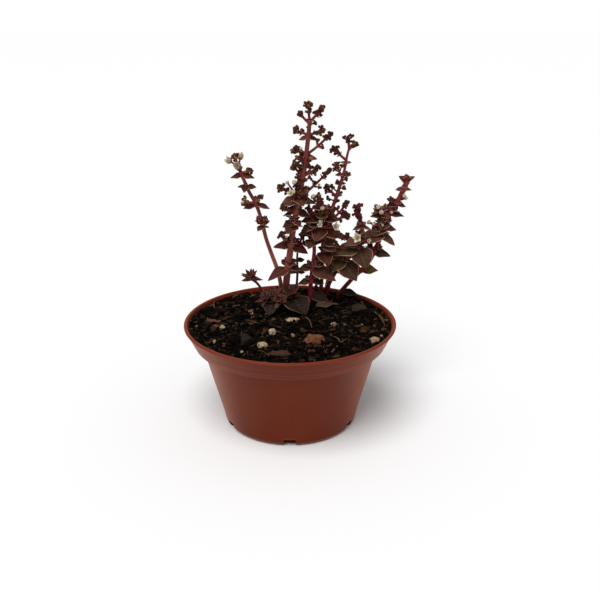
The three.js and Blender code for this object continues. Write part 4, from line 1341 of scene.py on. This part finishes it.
def add_leaf(bm, plan, line, extra, height, azimuth, length, tilt, share=LEAF_SHAPE):
    """One leaf on its stem, at a height."""
    foot = line.at_height(height)
    yellowed = YELLOWING if height < plan["yellow_below"] else 0
    tone = held(plan["leaf_tone"] + yellowed + extra(-0.22, 0.22))
    # A leaf near the soil takes tone 0, the darkest colour, as painted shade.
    add_blade(bm, foot, leaf_tip(foot, azimuth, length, tilt), length * share,
              0 if height < SHADE_PAINTED_BELOW else tone,
              up=LEAF_FACE + Vector((0, extra(-0.25, 0.25), 0)))


def add_axil_shoot(bm, plan, line, extra, height, azimuth, length, *_):
    """The young shoot over a leaf, where the stem has shoots and the leaf isn't short."""
    low, high, share = SHOOTS.get(plan["node"], (0, 0, 0))
    if low < height < high and length > SHORT_LEAF:
        outward = leaf_tip(Vector(), azimuth, 1, 0)
        foot = line.at_height(height + AXIL_STEP) + outward * AXIL_STEP
        size = held(length * share, *SHOOT_LIMITS) * extra(0.85, 1.15)
        add_young_shoot(bm, foot, outward, extra, size, plan["leaf_tone"])


print("stems with young shoots:", len(SHOOTS))

# %% White buds and fringes
WHITE_STALK, WHITE_LENGTH, WHITE_COMPANY = (0.5, 5, 4), 3.0, (3, 1.6)
WHITE_TONES, WHITE_RADII, COMPANY_TONE = (0.92, 0.98), (1.4, 1.6), 0.1
FRINGE_STALK, FRINGE_LENGTHS, FRINGE_BUDS = (0.5, 5, 3), (2.6, 4.6), (4, 1.6)


def add_white_bud(bm, plan, line, extra, height, place, *tones):
    """A large bud that is about to open, on a stalk with a few small ones."""
    stalk = bow(line.at_height(height), Vector(place))
    heading = stalk.heading(1)
    add_rod(bm, stalk, *WHITE_STALK, twig_tone(plan), STEM)
    tone = tones[0] if tones else extra(*WHITE_TONES)
    add_bud(bm, stalk.at(1) - heading * 0.8, heading, WHITE_LENGTH, extra(*WHITE_RADII), tone)
    add_loose_buds(bm, stalk, extra, COMPANY_TONE, *WHITE_COMPANY)


def add_fringe(bm, plan, line, extra, low, high, azimuth, count):
    """Short stalks with small buds that stand out from the stem between two heights."""
    for i in range(count):
        start = line.at_height(low + (high - low) * (i + extra(0, 0.6)) / count)
        reach = leaf_tip(Vector(), azimuth + extra(-55, 55), 1, extra(10, 50))
        stalk = bow(start, start + reach * extra(*FRINGE_LENGTHS))
        add_rod(bm, stalk, *FRINGE_STALK, twig_tone(plan), STEM)
        add_loose_buds(bm, stalk, extra, plan["bud_tone"], *FRINGE_BUDS)


print("white buds:", sum(len(plan.get("white_buds", ())) for plan in LEAFY_STEMS))

# %% Grow the stems
AXIL = 1.6
BLOOM_STALK = (tapered(0.65, 0.5), 7, 6)


def grow(plan, bm):
    """Everything on one stem but its blooms. Returns what each bloom needs."""
    plan = {**BARE_STEM, "tip_tone": plan["stem_tone"], **plan}
    draw, extra = draws_from(plan["seed"]), warmed(plan["seed"])
    line = spline(plan["path"])
    add_stem(bm, plan, line)
    leaves = [(height, azimuth + turn, *rest)
              for height, azimuth, *rest in plan["pairs"] for turn in (0, 180)]
    leaves += plan["singles"]
    for leaf_entry in leaves:
        add_leaf(bm, plan, line, extra, *leaf_entry)
    for height, end, count in plan["sprays"]:
        twig = bow(line.at_height(height + AXIL), Vector(end))
        add_spray(bm, twig, count, draw, extra, plan)
    for leaf_entry in leaves:
        add_axil_shoot(bm, plan, line, extra, *leaf_entry)
    for bud_entry in plan["white_buds"]:
        add_white_bud(bm, plan, line, extra, *bud_entry)
    for fringe in plan["fringes"]:
        add_fringe(bm, plan, line, extra, *fringe)
    for place, heading, count, length in plan["tufts"]:
        add_tuft(bm, Vector(place), Vector(heading).normalized(), extra, count, length)
    add_loose_buds(bm, line, extra, plan["bud_tone"], *plan["crown"])
    blooms = []
    for height, place, radius in plan["blooms"]:
        centre, start = Vector(place), line.at_height(height + AXIL)
        add_rod(bm, bow(start, centre), *BLOOM_STALK, twig_tone(plan), STEM)
        direction = (centre - start).normalized()
        blooms.append((centre, direction, radius, plan["splay"], plan["faded"]))
    return blooms


for node in dict.fromkeys(plan["node"] for plan in LEAFY_STEMS):
    stem_mesh, blooms = marked_mesh(), []
    for plan in LEAFY_STEMS:
        if plan["node"] == node:
            blooms += grow(plan, stem_mesh)
    finish_piece(f"stem_{node}", stem_mesh, PLANT_FINISHES, [f"leafy_stem_{node}"])
    draw = draws_from(len(node) * 7)
    for i, bloom in enumerate(blooms, 1):
        flower_mesh = marked_mesh()
        add_flower(flower_mesh, *bloom, draw, warmed(len(node) * 31 + i))
        finish_piece(f"flower_{node}_{i}", flower_mesh, PLANT_FINISHES,
                     [f"bloom_{node}_{i}"])

# %% [markdown]
# ## The shed leaf
# One old leaf lies dried on the soil behind the chips. It is the same blade, browner and
# more rippled.

# %% Shed leaf
SHED_FOOT, SHED_TIP = (15, 20), (29, 24)
FOOT_LIFT, TIP_LIFT = 1.4, 2.6

dry_leaf = Finish("dry_leaf", Roughness=0.8, Specular_IOR_Level=0.25)
across, _, _, _ = dry_leaf.marks()
dry_mottle = dry_leaf.grain(1.2, 4)
dry_leaf.colour = dry_leaf.ramp(
    dry_mottle, (0.3, 38, 27, 18), (0.5, 62, 44, 28), (0.7, 90, 66, 42),
)
dry_leaf.shade((116, 92, 68), across, 0.86, 0.98, 0.6)
dry_leaf.dress(dry_mottle, 0.25, 0.8)

shed_mesh = marked_mesh()
foot = Vector((*SHED_FOOT, soil_height(*SHED_FOOT) + FOOT_LIFT))
tip = Vector((*SHED_TIP, soil_height(*SHED_TIP) + TIP_LIFT))
add_blade(shed_mesh, foot, tip, width=9, tone=0.4, around=18, rings=16, index=0, wave=0.05)
finish_piece("shed_leaf", shed_mesh, [dry_leaf], ["fallen_leaf"])

# %% [markdown]
# ## Floor and light
# The object stands on a plain pale floor, in the soft light of a studio: one very broad lamp
# above, a little to the left and in front, and a pale surround. The camera sees the surround
# brighter than the object does, so that the backdrop stays white and the plant keeps its depth.

# %% Floor and light
FLOOR_RADIUS = 30
SURROUND_STRENGTH, BACKDROP_STRENGTH = 0.4, 1.0
LAMP_STRENGTH = 2.4
LAMP_SPREAD = math.radians(40)
LAMP_TURN = (math.radians(26), math.radians(-12), 0)

floor_finish = Finish("studio_floor", Base_Color=(0.95, 0.95, 0.95, 1), Roughness=0.9,
                      Specular_IOR_Level=0.1)
floor_mesh = bmesh.new()
bmesh.ops.create_circle(floor_mesh, cap_ends=True, segments=96, radius=FLOOR_RADIUS)
floor = shown("studio_floor", mesh_from(floor_mesh, "studio_floor"))
floor.data.materials.append(floor_finish.material)

world = bpy.data.worlds.new("studio")
world.use_nodes = True
nodes, links = world.node_tree.nodes, world.node_tree.links
surround, backdrop = nodes["Background"], nodes.new("ShaderNodeBackground")
for light, strength in ((surround, SURROUND_STRENGTH), (backdrop, BACKDROP_STRENGTH)):
    light.inputs["Color"].default_value = (1, 1, 1, 1)
    light.inputs["Strength"].default_value = strength
seen, chosen = nodes.new("ShaderNodeLightPath"), nodes.new("ShaderNodeMixShader")
links.new(seen.outputs["Is Camera Ray"], chosen.inputs[0])
links.new(surround.outputs[0], chosen.inputs[1])
links.new(backdrop.outputs[0], chosen.inputs[2])
links.new(chosen.outputs[0], nodes["World Output"].inputs["Surface"])
bpy.context.scene.world = world
bpy.context.scene.view_settings.view_transform = "Standard"

lamp = shown("soft_box", bpy.data.lights.new("soft_box", "SUN"))
lamp.data.energy, lamp.data.angle = LAMP_STRENGTH, LAMP_SPREAD
lamp.rotation_euler = LAMP_TURN
print("lamp:", lamp.data.type)
